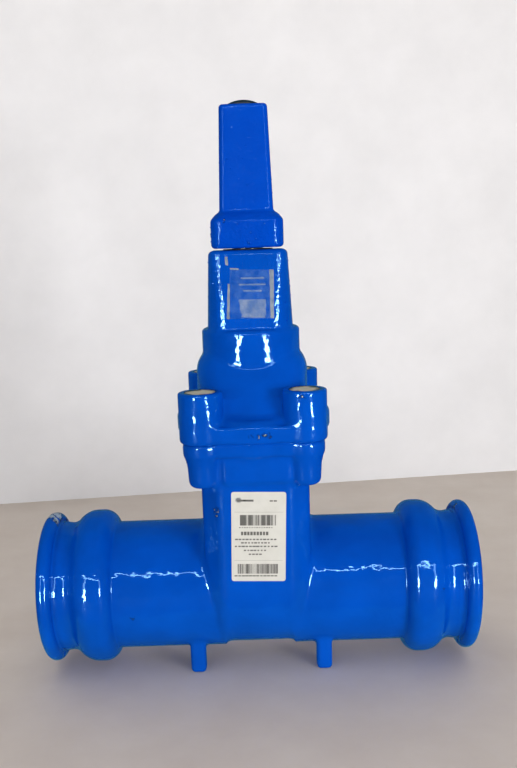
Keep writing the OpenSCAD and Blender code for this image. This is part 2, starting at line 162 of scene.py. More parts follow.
def surface(field, lo, hi, pitch):
    """Vertices and quads of the surface where field(x, y, z) is zero."""
    lo = np.array(lo, dtype=float)
    size = np.ceil((np.array(hi) - lo) / pitch).astype(int) + 1
    axes = [lo[i] + pitch * np.arange(size[i]) for i in range(3)]
    value = np.broadcast_to(field(*np.meshgrid(*axes, indexing="ij", sparse=True)), size)
    inside = value < 0
    count = sum(
        inside[i : size[0] - 1 + i, j : size[1] - 1 + j, k : size[2] - 1 + k].astype(np.int8)
        for i, j, k in CORNERS
    )
    crossed = (count > 0) & (count < 8)
    cells = np.argwhere(crossed)
    number = np.full(crossed.shape, -1)
    number[crossed] = np.arange(len(cells))
    total = np.zeros((len(cells), 3))
    hits = np.zeros(len(cells))
    for a, b in EDGES:
        va = value[tuple((cells + CORNERS[a]).T)]
        vb = value[tuple((cells + CORNERS[b]).T)]
        hit = (va < 0) != (vb < 0)
        t = va[hit] / (va[hit] - vb[hit])
        total[hit] += CORNERS[a] + t[:, None] * (CORNERS[b] - CORNERS[a])
        hits[hit] += 1
    points = lo + pitch * (cells + total / hits[:, None])
    quads = []
    for axis in range(3):
        others = [(axis + 1) % 3, (axis + 2) % 3]
        u, v = np.eye(3, dtype=int)[others]
        near, far = (np.take(inside, np.arange(size[axis] - 1) + i, axis) for i in (0, 1))
        at = np.argwhere(near != far)
        at = at[((at[:, others] >= 1) & (at[:, others] < size[others] - 1)).all(1)]
        ring = np.stack([number[tuple((at + step).T)] for step in (-u - v, -v, 0 * u, -u)], 1)
        leaving = near[tuple(at.T)]
        ring[~leaving] = ring[~leaving][:, ::-1]
        quads.append(ring)
    return slide(field, points, pitch), np.concatenate(quads)


def slope(field, p):
    """The direction in which the field grows, at each point."""
    step = 0.04
    parts = []
    for i in range(3):
        d = np.zeros(3)
        d[i] = step
        parts.append(field(*(p + d).T) - field(*(p - d).T))
    return np.stack(parts, 1) / (2 * step)


def slide(field, points, pitch):
    """Moves points along the slope of the field until they lie on its surface."""
    for _ in range(3):
        g = slope(field, points)
        off = field(*points.T)[:, None] * g / np.maximum((g * g).sum(1), 0.2)[:, None]
        points = points - np.clip(off, -0.5 * pitch, 0.5 * pitch)
    return points


print("surface nets ready, cell edges:", len(EDGES))

# %% [markdown]
# ## Meshes and pieces
#
# Every piece is made the same way: points in drawing millimetres are placed in
# Blender, the faces are shaded smooth, and an angle decides which edges stay
# crisp. The piece then rides on the body it belongs to.

# %% Make a piece
SLOTS = {s["node"]: s["material_slot"] for s in frame["record"]["subparts"]}


def shown(name, data):
    """A new object in the scene."""
    made = bpy.data.objects.new(name, data)
    scene.collection.objects.link(made)
    return made


def piece(name, points, faces, body, slot, crisp=40, finish=None):
    """A smooth-shaded mesh object from drawing points, riding on a body."""
    mesh = bpy.data.meshes.new(name)
    mesh.from_pydata(placed(points).tolist(), [], [list(map(int, f)) for f in faces])
    mesh.shade_smooth()
    mesh.set_sharp_from_angle(angle=math.radians(crisp))
    made = shown(name, mesh)
    if finish:
        mesh.materials.append(finish)
    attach(made, body)
    triangles = sum(len(p.vertices) - 2 for p in mesh.polygons)
    print(f"{name}: {triangles} triangles")
    return made


# %% [markdown]
# ## The body casting
#
# The middle of the body is a tall chamber, round below and straight above, that
# draws in to a waist where the pipe barrels leave it. On top is a flange block:
# a lip all round, a raised panel front and back, and four blind columns that
# take the bonnet screws. Four small feet hold the barrels off the floor.

# %% Body: the chamber and its flange block as one field
# The chamber is round below ROUND_Z. Column, bow and lip start at their own heights,
# and columns and panels are trimmed just under the joint.
CHAMBER_R, ROUND_Z, PANEL_Y, BOW_X = 51, 10, 53.2, 8.8
COLUMN_Z, BOW_Z, LIP_Z, TRIM_Z = 81.5, 86.5, 101.5, 109
FOOT_X, FOOT_Y = 43.3, 24
waist = blend_table([-30, -8, 12, 28], [26, 27, 31, 35], 6)
lip_under = blend_table([BOW_Z, LIP_Z, 103.5, JOINT_Z], [-9, -1, 0, 0], 1)
column_r = blend_table([COLUMN_Z, 95.5, 103.5, JOINT_Z], [9.3, 10, 12, 12], 2)


def off_screw(x, y):
    """Distance from the axis of the nearest bonnet screw."""
    return np.hypot(abs(x) - SCREW_X, abs(y) - SCREW_Y)


def flange_plan(x, y, half_y, boss_r):
    """Plan of a flange: a cross with a round ear at each screw."""
    long_side = rect(x, y, SCREW_X + boss_r, SCREW_Y, 1)
    front = rect(x, y, SCREW_X, half_y, 1)
    return join(join(off_screw(x, y) - boss_r, long_side, 1), front, 1)


def body_outside(x, y, z):
    """Chamber, barrel stubs, columns, front and back panels, lip and feet."""
    reach = np.hypot(y, np.minimum(z - ROUND_Z, 0))
    chamber = meet(reach - CHAMBER_R, abs(x) - waist(z), 2)
    chamber = meet(chamber, (abs(x) + reach - 74.4) / math.sqrt(2), 2.5)
    barrel = np.maximum(np.hypot(y, z) - BARREL_R, 24 - abs(x))
    solid = join(chamber, barrel, 5)
    column = meet(off_screw(x, y) - column_r(z), COLUMN_Z - z, 4)
    solid = join(solid, np.maximum(column, z - TRIM_Z), 4)
    panel = meet(rect(x - 1, z - 150, 21.5, 66, 3), abs(y) - PANEL_Y, 2)
    solid = join(solid, np.maximum(panel, z - TRIM_Z), 3)
    bow = np.hypot(abs(x) + BOW_X, y) - 57.5 - lip_under(z)
    lip = meet(flange_plan(x, y, 56.5, 11.5), LIP_Z - z, 2)
    lip = join(lip, np.maximum(bow, BOW_Z - z), 2)
    solid = join(solid, lip, 2)
    foot = meet(rect(abs(x) - FOOT_X, abs(y) - FOOT_Y, 5.3, 6, 3), FLOOR_Z - z, 3)
    solid = join(solid, np.maximum(foot, z + 20), 2)
    return meet(solid, z - JOINT_Z, 0.8)


# %% [markdown]
# Inside are the waterway, the start of each pipe socket, the slot that the
# wedge drops into, and the wider chamber above it. They are taken out of the
# solid with a small radius, as a core leaves them.

# %% Body: the hollow, and the meshed middle
def body_field(x, y, z):
    """The body with waterway, sockets, wedge slot, chamber and screw holes taken out."""
    solid = body_outside(x, y, z)
    pipe = np.hypot(y, z)
    hollow = np.minimum(pipe - FLOW_R, np.maximum(pipe - SOCKET_R, 50.5 - abs(x)))
    slot = meet(np.hypot(y, np.minimum(z - ROUND_Z, 0)) - 45, abs(x) - 24.2, 4)
    chamber = np.maximum(rect(x, y, 28, 45, 14), 42 - z)
    groove = np.maximum(abs(rect(x, y, 30.5, 47.5, 16.5)) - 1.5, JOINT_Z - 3 - z)
    thread = np.maximum(off_screw(x, y) - 5, 88.5 - z)
    hollow = np.minimum(np.minimum(hollow, slot), np.minimum(chamber, groove))
    return cut(solid, np.minimum(hollow, thread), 0.6)


middle_points, middle_quads = surface(body_field, (-53.65, -60, -58), (53.65, 60, 112), 1.45)
print("middle of the body:", len(middle_points), "points")

# %% [markdown]
# The two sockets are turned shapes. Their outline is a chain of arcs: up the
# steep shoulder, over the bulge that makes room for the seal, down a hollow to
# the neck, over a low swelling, and out to a thick round rim at the mouth.
# Spinning that chain keeps every arc true, and costs far fewer faces than the
# field.

# %% Sockets: the outline
def arc(x, r, radius, start, end, steps):
    """Points of an arc in the plane of distance along the pipe and radius."""
    turn = np.radians(np.linspace(start, end, steps))
    return [(x + radius * math.cos(t), r + radius * math.sin(t)) for t in turn]


socket_line = (
    [(x, BARREL_R) for x in (54.5, 62, 70, 80, 90)]
    + arc(96.36, 46, 2, -90, -15.96, 7)
    + arc(107.9, 42.7, 10, 164.04, 90, 16)[1:]
    + arc(111.7, 37.7, 15, 90, 40.6, 13)
    + arc(129.92, 53.32, 9, 220.6, 283.2, 11)[1:]
    + arc(134, 35.9, 8.9, 103.2, 78.6, 7)[1:]
    + arc(136, 45.8, 1.2, -101.4, 0, 6)[1:]
    + arc(141.85, 46.95, 4.65, 180, 0, 19)
    + [(146.5, 44), (146.5, 41.6)]
    + arc(145.9, 41.6, 0.6, 0, -42, 4)[1:]
    + [(142.5, SOCKET_R), (128, SOCKET_R)]
    + [(119, SOCKET_R), (118.5, SOCKET_R + 0.5), (118.5, 46.7), (103.5, 46.7)]
    + [(103.5, SOCKET_R + 0.5)] + [(x, SOCKET_R) for x in (103, 90, 75, 54.5)]
)
print("socket outline:", len(socket_line), "points")

# %% Sockets: spin the outline and stitch it to the middle
TURNS = 128


def pipe_rings(outline, side, turns):
    """An outline of (distance along the pipe, radius), spun about the pipe axis."""
    turn = 2 * math.pi * np.arange(turns) / turns
    rings = [(np.full(turns, side * x), r * np.cos(turn), r * np.sin(turn)) for x, r in outline]
    return np.concatenate([np.stack(ring, 1) for ring in rings])


def bands(rows, turns, first=0, closed=False):
    """Quads between rings of points; closed joins the last ring to the first."""
    made = []
    for i in range(rows if closed else rows - 1):
        a, b = first + i * turns, first + (i + 1) % rows * turns
        made += [[a + j, a + (j + 1) % turns, b + (j + 1) % turns, b + j] for j in range(turns)]
    return made


def zipped(ring_a, angle_a, ring_b, angle_b):
    """Triangles between two rings that have different numbers of points."""
    ring_a, angle_a = ring_a[np.argsort(angle_a)], np.sort(angle_a)
    ring_b, angle_b = ring_b[np.argsort(angle_b)], np.sort(angle_b)
    next_a = np.append(angle_a[1:], angle_a[0] + 2 * math.pi)
    next_b = np.append(angle_b[1:], angle_b[0] + 2 * math.pi)
    made, i, j, n, m = [], 0, 0, len(ring_a), len(ring_b)
    while i < n or j < m:
        if j == m or (i < n and next_a[i] <= next_b[j]):
            made.append((ring_a[i], ring_a[(i + 1) % n], ring_b[j % m]))
            i += 1
        else:
            made.append((ring_a[i % n], ring_b[(j + 1) % m], ring_b[j]))
            j += 1
    return made


points = [middle_points]
faces = middle_quads.tolist()
start = len(middle_points)
rows = len(socket_line)
spin = 2 * math.pi * np.arange(TURNS) / TURNS
spin = np.mod(spin + math.pi, 2 * math.pi) - math.pi
for side in (-1, 1):
    points.append(pipe_rings(socket_line, side, TURNS))
    faces += [quad[::-side] for quad in bands(rows, TURNS, start)]
    # The middle's open ends lie beyond 52.4 mm; 41.3 mm parts outer ring and bore
    edge = np.flatnonzero(side * middle_points[:, 0] > 52.4)
    radius = np.hypot(middle_points[edge, 1], middle_points[edge, 2])
    for ring, row in ((edge[radius > 41.3], 0), (edge[radius <= 41.3], rows - 1)):
        turn = np.arctan2(middle_points[ring, 2], middle_points[ring, 1])
        own = np.arange(TURNS) + start + row * TURNS
        outward = side if row == 0 else -side
        faces += [list(f[::outward]) for f in zipped(ring, turn, own, spin)]
    start += rows * TURNS

body = piece("body_casting", np.concatenate(points), faces, "valve", SLOTS["body"], 45)
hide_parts("body")

# %% [markdown]
# ## The bonnet casting
#
# The bonnet is a hood with an arched top on an oval plate. Its four screw
# bosses stand clear of the hood and are tied to it by flat webs. Above the hood
# come a round collar and a square tube with round corners, for the stem's bearing.

# %% Bonnet: the outside
PLATE_TOP, BOW_TOP, WEB_TOP, APRON_TOP, BOSS_TOP = 121.3, 124.5, 134, 136, 142.4
BOSS_R, COLLAR_R, COLLAR_Z, TUBE_FOOT = 14, 32.2, 165.1, 150
SCREW_REACH = 56.9  # from the stem axis to a screw axis
tube_half = blend_table([TUBE_FOOT, 225.2, TUBE_TOP], [29.4, 25.3, 23.6], 0.8)
apron_front = blend_table([JOINT_Z, 119.5, 127.5, APRON_TOP], [57, 56, 46.3, 41], 1)


def arch(u, z, half, radius, centre):
    """Straight sides up to the height centre, then round in to a flat top."""
    return rect(u, z - centre + 100, half, 100 + radius, radius)


def bonnet_outside(x, y, z):
    """Hood, oval plate, front aprons, webs and bosses, then collar and tube."""
    lean = np.hypot(x, y)
    side = arch(x, z, 36.8 - y**2 / 140, 18, 149)
    front = np.hypot(abs(y) + 159.5, z - 30.2) - 228 + x**2 / 160
    hood = meet(side, front, 8)
    bow = np.hypot(abs(x) + BOW_X, y) - 60
    plate = meet(flange_plan(x, y, 59, BOSS_R), z - PLATE_TOP, 1.8)
    plate = join(plate, meet(bow, z - BOW_TOP, 5), 3)
    apron = meet(abs(x) - 22, np.maximum(abs(y) - apron_front(z), z - APRON_TOP), 4)
    boss = meet(off_screw(x, y) - BOSS_R, z - BOSS_TOP, 1.4)
    along = (SCREW_X * abs(x) + SCREW_Y * abs(y)) / SCREW_REACH
    across = abs(SCREW_Y * abs(x) - SCREW_X * abs(y)) / SCREW_REACH
    web = meet(np.maximum(across - 7, along - 52), z - WEB_TOP, 3)
    solid = join(join(plate, apron, 3), hood, 1.2)
    solid = join(join(solid, web, 3), boss, 2.5)
    outline = join(flange_plan(x, y, 59, 13.98), bow, 4)
    solid = meet(np.maximum(solid, outline), JOINT_Z - z, 2)
    half = tube_half(z)
    tube = np.maximum(abs(x) - half, abs(y) - half + 2.3)
    tube = meet(np.maximum(tube, TUBE_FOOT - z), lean - 31, 2.6)
    tube = meet(tube, z - TUBE_TOP, 1.5)
    collar = meet(lean - COLLAR_R, abs(z - COLLAR_Z) - 12.3, 2.4)
    return join(join(solid, collar, 1.2), tube, 1.5)


# %% Bonnet: the hollow, and its mesh
def bonnet_field(x, y, z):
    """The bonnet with its room, the stem's bores and the screw holes taken out."""
    lean = np.hypot(x, y)
    room = meet(arch(x, z, 28, 18, 130), arch(y, z, 42.5, 21, 124), 6)
    room = meet(room, np.sqrt(lean**2 + (z - 118) ** 2) - 51.5, 3)
    room = join(room, np.maximum(rect(x, y, 28, 45, 14), z - 117.5), 1)
    bore = np.minimum(lean - 11, np.maximum(lean - 15.5, z - 161))
    bore = np.minimum(bore, np.maximum(lean - 17, 180.5 - z))
    off = off_screw(x, y)
    holes = np.minimum(off - 5.5, np.maximum(off - 9.5, 120.5 - z))
    hollow = np.minimum(np.minimum(room, bore), holes)
    return cut(bonnet_outside(x, y, z), hollow, 0.7)


bonnet_points, bonnet_quads = surface(bonnet_field, (-56, -64, 108), (56, 64, 230), 1.0)
bonnet = piece("bonnet_casting", bonnet_points, bonnet_quads, "valve", SLOTS["bonnet"], 45)
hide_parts("bonnet")

# %% [markdown]
# ## The stem cap
#
# The key drops over this tapered square. It is cast too, so its corners are
# round and its faces a little full. A wider foot hides the bearing from dirt,
# and its top slopes up to the square at about 45 degrees.

# %% Cap: outside, socket and mesh
cap_half = blend_table([244, 315.2], [17.6, 15.2], 1)
foot_half = blend_table([228.5, 245.6, 246.6, 251.2], [23.4, 23.4, 22.8, 18.6], 1)


def cap_field(x, y, z):
    """The tapered square on its foot, with the stem's socket and the screw hole."""
    square = meet(bowed(x, y, cap_half(z), cap_half(z), 260, 3), abs(z - 280) - 35.2, 2)
    foot = meet(bowed(x, y, foot_half(z), foot_half(z), 260, 6), abs(z - 239.85) - 11.35, 2.6)
    solid = join(square, foot, 1.5)
    lean = np.hypot(x, y)
    key = np.maximum(rect(x, y, 8.85, 8.85, 0.5), z - 266)
    hole = np.minimum(lean - 5.5, np.maximum(lean - 10.2, 286 - z))
    return cut(solid, np.minimum(key, np.maximum(hole, 250 - z)), 0.5)


cap_points, cap_quads = surface(cap_field, (-26, -26, 226), (26, 26, 318), 0.8)
cap = piece("stem_cap_casting", cap_points, cap_quads, "spindle", SLOTS["stem_cap"], 45)
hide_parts("stem_cap")

# %% [markdown]
# ## One function for nodes, one for colours
#
# Colours are written as sRGB hex, the way a paint chart gives them. The shader
# wants linear light, so one function converts them. Another links or sets the
# inputs of a node, and the last adds a shader or geometry node with its settings
# and its inputs.

# %% Colour and node helpers
def ink(code):
    """An sRGB hex colour as linear red, green, blue and a full alpha."""
    parts = [int(code[i : i + 2], 16) / 255 for i in (1, 3, 5)]
    linear = [c / 12.92 if c <= 0.04045 else ((c + 0.055) / 1.055) ** 2.4 for c in parts]
    return (*linear, 1.0)


def wire(tree, node, inputs):
    """Links or sets inputs, named or numbered; each takes a value, a node or a socket."""
    for key, value in inputs.items():
        if isinstance(key, int):
            socket = node.inputs[key]
        else:
            socket = next(s for s in node.inputs if s.name == key and s.enabled)
        if isinstance(value, bpy.types.Node):
            value = next(s for s in value.outputs if s.enabled)
        if isinstance(value, bpy.types.NodeSocket):
            tree.links.new(value, socket)
        else:
            socket.default_value = value


def add(tree, kind, inputs=None, settings=None):
    """Adds a node with its settings, and wires its inputs."""
    made = tree.nodes.new(kind)
    for name, value in (settings or {}).items():
        setattr(made, name, value)
    wire(tree, made, inputs or {})
    return made


def material(name):
    """A new material: its tree, its main shader, and the Object coordinates."""
    made = bpy.data.materials.new(name)
    made.use_nodes = True
    shader = made.node_tree.nodes["Principled BSDF"]
    where = add(made.node_tree, "ShaderNodeTexCoord").outputs["Object"]
    return made, made.node_tree, shader, where


print("paint blue in linear light:", [round(c, 3) for c in ink("#0055cc")])

# %% [markdown]
# ## Blue epoxy coat
#
# *Fusion-bonded epoxy on sand-cast ductile iron.* The casting is blasted, heated
# and dipped in powder, which melts to a thick glossy skin. It gives the eye a
# deep even blue, sharp highlights that wander because the skin is not flat, and
# small pits and nibs. Three reliefs do that: long waves about 18 mm across from
# the melt, casting ripples of about 6 mm, and a fine orange peel of 2 mm. Where
# the coat has been knocked in handling, chips show dark iron, bright in places.

# %% Chips in the coat
# Each chip is a place (x, y, z) on the drawing and a radius
CHIPS = [
    (-143.5, -1, 51.3, 4.6), (-139, 5, 51.2, 5.4), (-137.5, -5, 50.4, 4.4),
    (-141, 11, 50, 4.4), (-146.3, -43, -9, 2.4), (-146.3, -39, -20, 1.8),
    (136, 2, 50, 3.0), (134.5, -8, 48, 2.4), (-25.4, -48, 65.5, 2.5), (-25.2, -48.5, 62, 1.8),
    (-1, -58.9, 116.2, 1.4), (3, -58.9, 115.4, 1.5), (7, -58.9, 116.4, 1.7),
    (10.5, -58.9, 115.9, 1.3), (31, -52.5, 142.3, 2.4), (30.5, -59.5, 139.5, 1.8),
    (-40, -52, 142.3, 1.6), (46, -44, 141.8, 1.6), (44, 60, 122, 3.0), (-110, 49, -20, 3.4),
    (120, -48, 8, 1.4), (-84, -43, -9, 1.2), (0, 52, 20, 2.4), (60, 30, -32, 3.0),
]
CAP_CHIPS = [
    (-14, -23.4, 246, 1.2), (21.5, -22, 233, 1.2), (-22.8, -14, 238, 1.5), (-16, -12, 300, 1.2),
]
RIM_SCUFF = (-140, 2, 50.5)
RING_Z, RING_R = 142.1, 0.0098
print("chips:", len(CHIPS) + len(CAP_CHIPS))


# %% Blue epoxy material
def epoxy(name, deep, bright, chips, wave, peel_band, haze):
    """Glossy blue powder coat, from the two blues that it drifts between.

    The wave is the height of the melt's long waves. Over the heights of peel_band,
    (low, high, share low, share high), the orange peel goes from one share to the
    other, and the roughness rises by haze. Haze also dulls the shine all over.
    """
    made, tree, shader, where = material(name)
    height = add(tree, "ShaderNodeSeparateXYZ", {0: where}).outputs["Z"]
    tone = add(tree, "ShaderNodeMapRange", {
        0: add(tree, "ShaderNodeTexNoise", {"Vector": where, "Scale": 28.0, "Detail": 3.0}),
        1: 0.35,
        2: 0.65,
    })
    colour = add(tree, "ShaderNodeMix", {
        "Factor": tone, "A": ink(deep), "B": ink(bright)
    }, {"data_type": "RGBA"})

    # A ragged edge for every chip, and the gap from here to the nearest one
    ragged = add(tree, "ShaderNodeTexNoise", {
        "Vector": where, "Scale": 520.0, "Detail": 4.0, "Roughness": 0.6
    })
    push = add(tree, "ShaderNodeMath", {
        0: ragged, 1: 0.009, 2: -0.0045
    }, {"operation": "MULTIPLY_ADD"})
    nearest = None
    for x, y, z, r in chips:
        gap = add(tree, "ShaderNodeMath", {
            0: add(tree, "ShaderNodeVectorMath", {
                0: where, 1: tuple(placed([x, y, z]))
            }, {"operation": "DISTANCE"}),
            1: r / 1000,
        }, {"operation": "SUBTRACT"})
        if nearest:
            gap = add(tree, "ShaderNodeMath", {0: nearest, 1: gap}, {"operation": "MINIMUM"})
        nearest = gap
    edge = add(tree, "ShaderNodeMath", {0: nearest, 1: push}, {"operation": "ADD"})
    chip = add(tree, "ShaderNodeMapRange", {0: edge, 1: -0.001, 2: -0.0013})
    halo = add(tree, "ShaderNodeMapRange", {0: edge, 1: 0.0004, 2: -0.0012})

    # A dark line round each waxed screw hole
    from_hole = add(tree, "ShaderNodeVectorMath", {
        0: add(tree, "ShaderNodeVectorMath", {0: where}, {"operation": "ABSOLUTE"}),
        1: tuple(placed([SCREW_X, SCREW_Y, RING_Z])),
    }, {"operation": "DISTANCE"})
    off_edge = add(tree, "ShaderNodeMath", {
        0: add(tree, "ShaderNodeMath", {0: from_hole, 1: RING_R}, {"operation": "SUBTRACT"})
    }, {"operation": "ABSOLUTE"})
    ring = add(tree, "ShaderNodeMapRange", {
        0: add(tree, "ShaderNodeMath", {
            0: push, 1: 0.6, 2: off_edge
        }, {"operation": "MULTIPLY_ADD"}),
        1: 0.001,
        2: 0.0004,
    })

    # Bare iron with bright specks, and the scraped pale metal of the left rim
    bare = add(tree, "ShaderNodeMapRange", {
        0: add(tree, "ShaderNodeTexNoise", {"Vector": where, "Scale": 1100.0, "Detail": 3.0}),
        1: 0.5,
        2: 0.56,
    })
    metal = add(tree, "ShaderNodeMix", {
        "Factor": bare,
        "A": add(tree, "ShaderNodeMix", {
            "Factor": ragged, "A": ink("#101a24"), "B": ink("#3d4145")
        }, {"data_type": "RGBA"}),
        "B": ink("#b4bbc2"),
    }, {"data_type": "RGBA"})
    scraped = add(tree, "ShaderNodeMath", {
        0: push,
        1: 1.6,
        2: add(tree, "ShaderNodeVectorMath", {
            0: where, 1: tuple(placed(RIM_SCUFF))
        }, {"operation": "DISTANCE"}),
    }, {"operation": "MULTIPLY_ADD"})
    metal = add(tree, "ShaderNodeMix", {
        "Factor": add(tree, "ShaderNodeMapRange", {0: scraped, 1: 0.0078, 2: 0.0062}),
        "A": metal,
        "B": ink("#a3afbb"),
    }, {"data_type": "RGBA"})
    edged = add(tree, "ShaderNodeMix", {
        "Factor": ring, "A": colour, "B": ink("#1d3c46")
    }, {"data_type": "RGBA"})
    final = add(tree, "ShaderNodeMix", {
        "Factor": chip,
        "A": add(tree, "ShaderNodeMix", {
            "Factor": halo, "A": edged, "B": ink("#07255a")
        }, {"data_type": "RGBA"}),
        "B": metal,
    }, {"data_type": "RGBA"})

    # Shine: rubbed here and there, hazy high up where asked, and matt in the chips
    low, high, share_low, share_high = peel_band
    low, high = AXIS + low / 1000, AXIS + high / 1000
    rubbed = add(tree, "ShaderNodeMapRange", {
        0: add(tree, "ShaderNodeTexNoise", {
            "Vector": where, "Scale": 60.0, "Detail": 5.0, "Roughness": 0.65
        }),
        1: 0.35,
        2: 0.8,
        3: 0.04,
        4: 0.11,
    })
    dull = add(tree, "ShaderNodeMath", {
        0: rubbed, 1: add(tree, "ShaderNodeMapRange", {0: height, 1: low, 2: high, 3: 0.0, 4: haze})
    }, {"operation": "ADD"})
    matt = add(tree, "ShaderNodeMath", {
        0: dull, 1: add(tree, "ShaderNodeMath", {0: chip, 1: 0.6}, {"operation": "MULTIPLY"})
    }, {"operation": "MAXIMUM"})

    # Three reliefs, one on another, and the chips sunk through them
    relief = add(tree, "ShaderNodeBump", {
        "Height": add(tree, "ShaderNodeTexNoise", {"Vector": where, "Scale": 55.0, "Detail": 1.0}),
        "Distance": wave,
        "Strength": 1.0,
    })
    relief = add(tree, "ShaderNodeBump", {
        "Height": add(tree, "ShaderNodeTexNoise", {"Vector": where, "Scale": 165.0, "Detail": 1.0}),
        "Distance": wave * 0.28,
        "Strength": 1.0,
        "Normal": relief,
    })
    share = add(tree, "ShaderNodeMapRange", {
        0: height, 1: low, 2: high, 3: share_low, 4: share_high
    })
    relief = add(tree, "ShaderNodeBump", {
        "Height": add(tree, "ShaderNodeTexNoise", {"Vector": where, "Scale": 480.0, "Detail": 1.0}),
        "Distance": 0.00042,
        "Strength": share,
        "Normal": relief,
    })
    pit = add(tree, "ShaderNodeBump", {
        "Height": chip, "Distance": 0.0003, "Strength": 1.0, "Normal": relief
    })
    pit.invert = True
    wire(tree, shader, {
        "Base Color": final, "Roughness": matt, "Normal": pit, "IOR": 1.52,
        "Specular IOR Level": 0.75 - 7 * haze, "Specular Tint": (0.30, 0.68, 1.0, 1.0),
    })
    return made


casting_coat = epoxy(
    "blue_epoxy_on_castings", "#0048b2", "#004fc0", CHIPS, 0.0011, (172, 182, 0.08, 0.75), 0.0
)
cap_coat = epoxy(
    "blue_epoxy_on_cap", "#0042b8", "#0048c1", CAP_CHIPS, 0.0006, (250, 262, 1.0, 0.5), 0.05
)
for made, coat in ((body, casting_coat), (bonnet, casting_coat), (cap, cap_coat)):
    made.data.materials.append(coat)
print("epoxy nodes:", len(casting_coat.node_tree.nodes))

# %% [markdown]
# ## Metals, rubber and plastics
#
# Most parts inside and on top keep their construction shapes, and only their
# finish changes. Each finish is named for the real material.

# %% Rubber, plastic, brass, steel and iron
def plain(name, low, high, grain, rough, bump, metallic=0.0, stretch=(1, 1, 1)):
    """A finish of two colours mottled at a grain size in millimetres."""
    made, tree, shader, where = material(name)
    mapped = add(tree, "ShaderNodeMapping", {"Vector": where, "Scale": stretch})
    grains = add(tree, "ShaderNodeTexNoise", {
        "Vector": mapped, "Scale": 1000 / grain, "Detail": 4.0
    })
    wire(tree, shader, {
        "Base Color": add(tree, "ShaderNodeMix", {
            "Factor": add(tree, "ShaderNodeMapRange", {0: grains, 1: 0.3, 2: 0.7}),
            "A": ink(low),
            "B": ink(high),
        }, {"data_type": "RGBA"}),
        "Roughness": add(tree, "ShaderNodeMapRange", {
            0: grains, 1: 0.3, 2: 0.7, 3: rough[0], 4: rough[1]
        }),
        "Normal": add(tree, "ShaderNodeBump", {
            "Height": grains, "Distance": bump / 1000, "Strength": 1.0
        }),
        "Metallic": metallic,
    })
    return made


FINISH = {
    # Moulded EPDM: near black, satin, with the dull bloom of new rubber
    "black_rubber": plain("moulded_epdm_rubber", "#18191b", "#232427", 1.2, (0.42, 0.6), 0.03),
    # Moulded polyethylene: near black with a faint blue-grey tone
    "black_plastic": plain("moulded_polyethylene", "#070c14", "#0e1826", 2.0, (0.4, 0.55), 0.02),
    # Turned stainless: bright grey, with fine rings from the tool about the stem
    "stainless_steel": plain(
        "turned_stainless_steel", "#b3b5b6", "#c9cacb", 0.5, (0.2, 0.32), 0.01, 1.0,
        (0.02, 0.02, 1),
    ),
    # Zinc plate: paler and more clouded than steel
    "zinc_steel": plain("zinc_plated_steel", "#a7abaf", "#c3c6c8", 3.0, (0.28, 0.45), 0.02, 1.0),
    # Machined brass: yellow, satin from the tool
    "brass": plain("machined_brass", "#a88a48", "#c2a35c", 1.5, (0.22, 0.36), 0.015, 1.0),
    # Moulded polyamide: creamy white with a soft shine
    "nylon": plain("moulded_polyamide", "#e2decf", "#ece8dc", 2.5, (0.35, 0.5), 0.02),
    # As-cast ductile iron: dark grey and sandy
    "grey_iron": plain("as_cast_ductile_iron", "#3f4244", "#5c5f61", 1.0, (0.55, 0.75), 0.12),
}
for name, made in nodes.items():
    finish = FINISH.get(SLOTS.get(name))
    if finish:
        made.data.materials.clear()
        made.data.materials.append(finish)
print("finishes:", ", ".join(FINISH))

# %% [markdown]
# ## Sealing wax
#
# The bonnet screws sit deep in their bosses, and the holes are poured full of
# beige wax so that no water reaches the steel. Wax sets with a sunk middle, a
# raised edge where it clings to the iron, and a surface that is never flat. The
# plug is a set of rings, one round another, whose heights ripple. The colour
# darkens towards the edge.

# %% Wax plugs
# Millimetres above the construction plug: the middle, the rise to the rim, the limit
MIDDLE, RISE, LIMIT = 0.35, 0.5, 0.95
RIPPLE = 0.11


def upright_ring(r, z, turns, x=0.0, y=0.0):
    """A ring of points about the upright through (x, y); z may vary round it."""
    turn = 2 * math.pi * np.arange(turns) / turns
    return np.stack([x + r * np.cos(turn), y + r * np.sin(turn), np.broadcast_to(z, turns)], 1)


def wax_plug(number, x, y):
    """One poured plug: a disc with a rippled top, sunk in the middle, high at the rim."""
    lo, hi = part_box(f"wax_plug_{number}")
    bottom, top = (lo.z - AXIS) * 1000, (hi.z - AXIS) * 1000
    rng = np.random.default_rng(40 + number)
    rings, turns, radius = 12, 48, 9.45
    turn = 2 * math.pi * np.arange(turns) / turns
    phase, lobes = rng.uniform(0, 6.28, 4), (2, 3, 5, 7)
    points = [[[x, y, top + MIDDLE]]]
    for part in np.arange(1, rings + 1) / rings:
        ripple = sum(np.sin(n * turn + p) for n, p in zip(lobes, phase)) * RIPPLE * part
        level = np.minimum(top + MIDDLE + RISE * part**3 + ripple * part, top + LIMIT)
        points.append(upright_ring(radius * part, level, turns, x, y))
    points.append(points[-1] * [1, 1, 0] + [0, 0, bottom])
    faces = [[a, d, c, b] for a, b, c, d in bands(rings + 1, turns, 1)]
    faces += [[0, 1 + j, 1 + (j + 1) % turns] for j in range(turns)]
    faces.append([1 + rings * turns + j for j in range(turns)][::-1])
    points = np.concatenate(points)
    made = piece(f"poured_wax_{number}", points, faces, "valve", "sealing_wax", finish=wax)
    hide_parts(f"wax_plug_{number}")


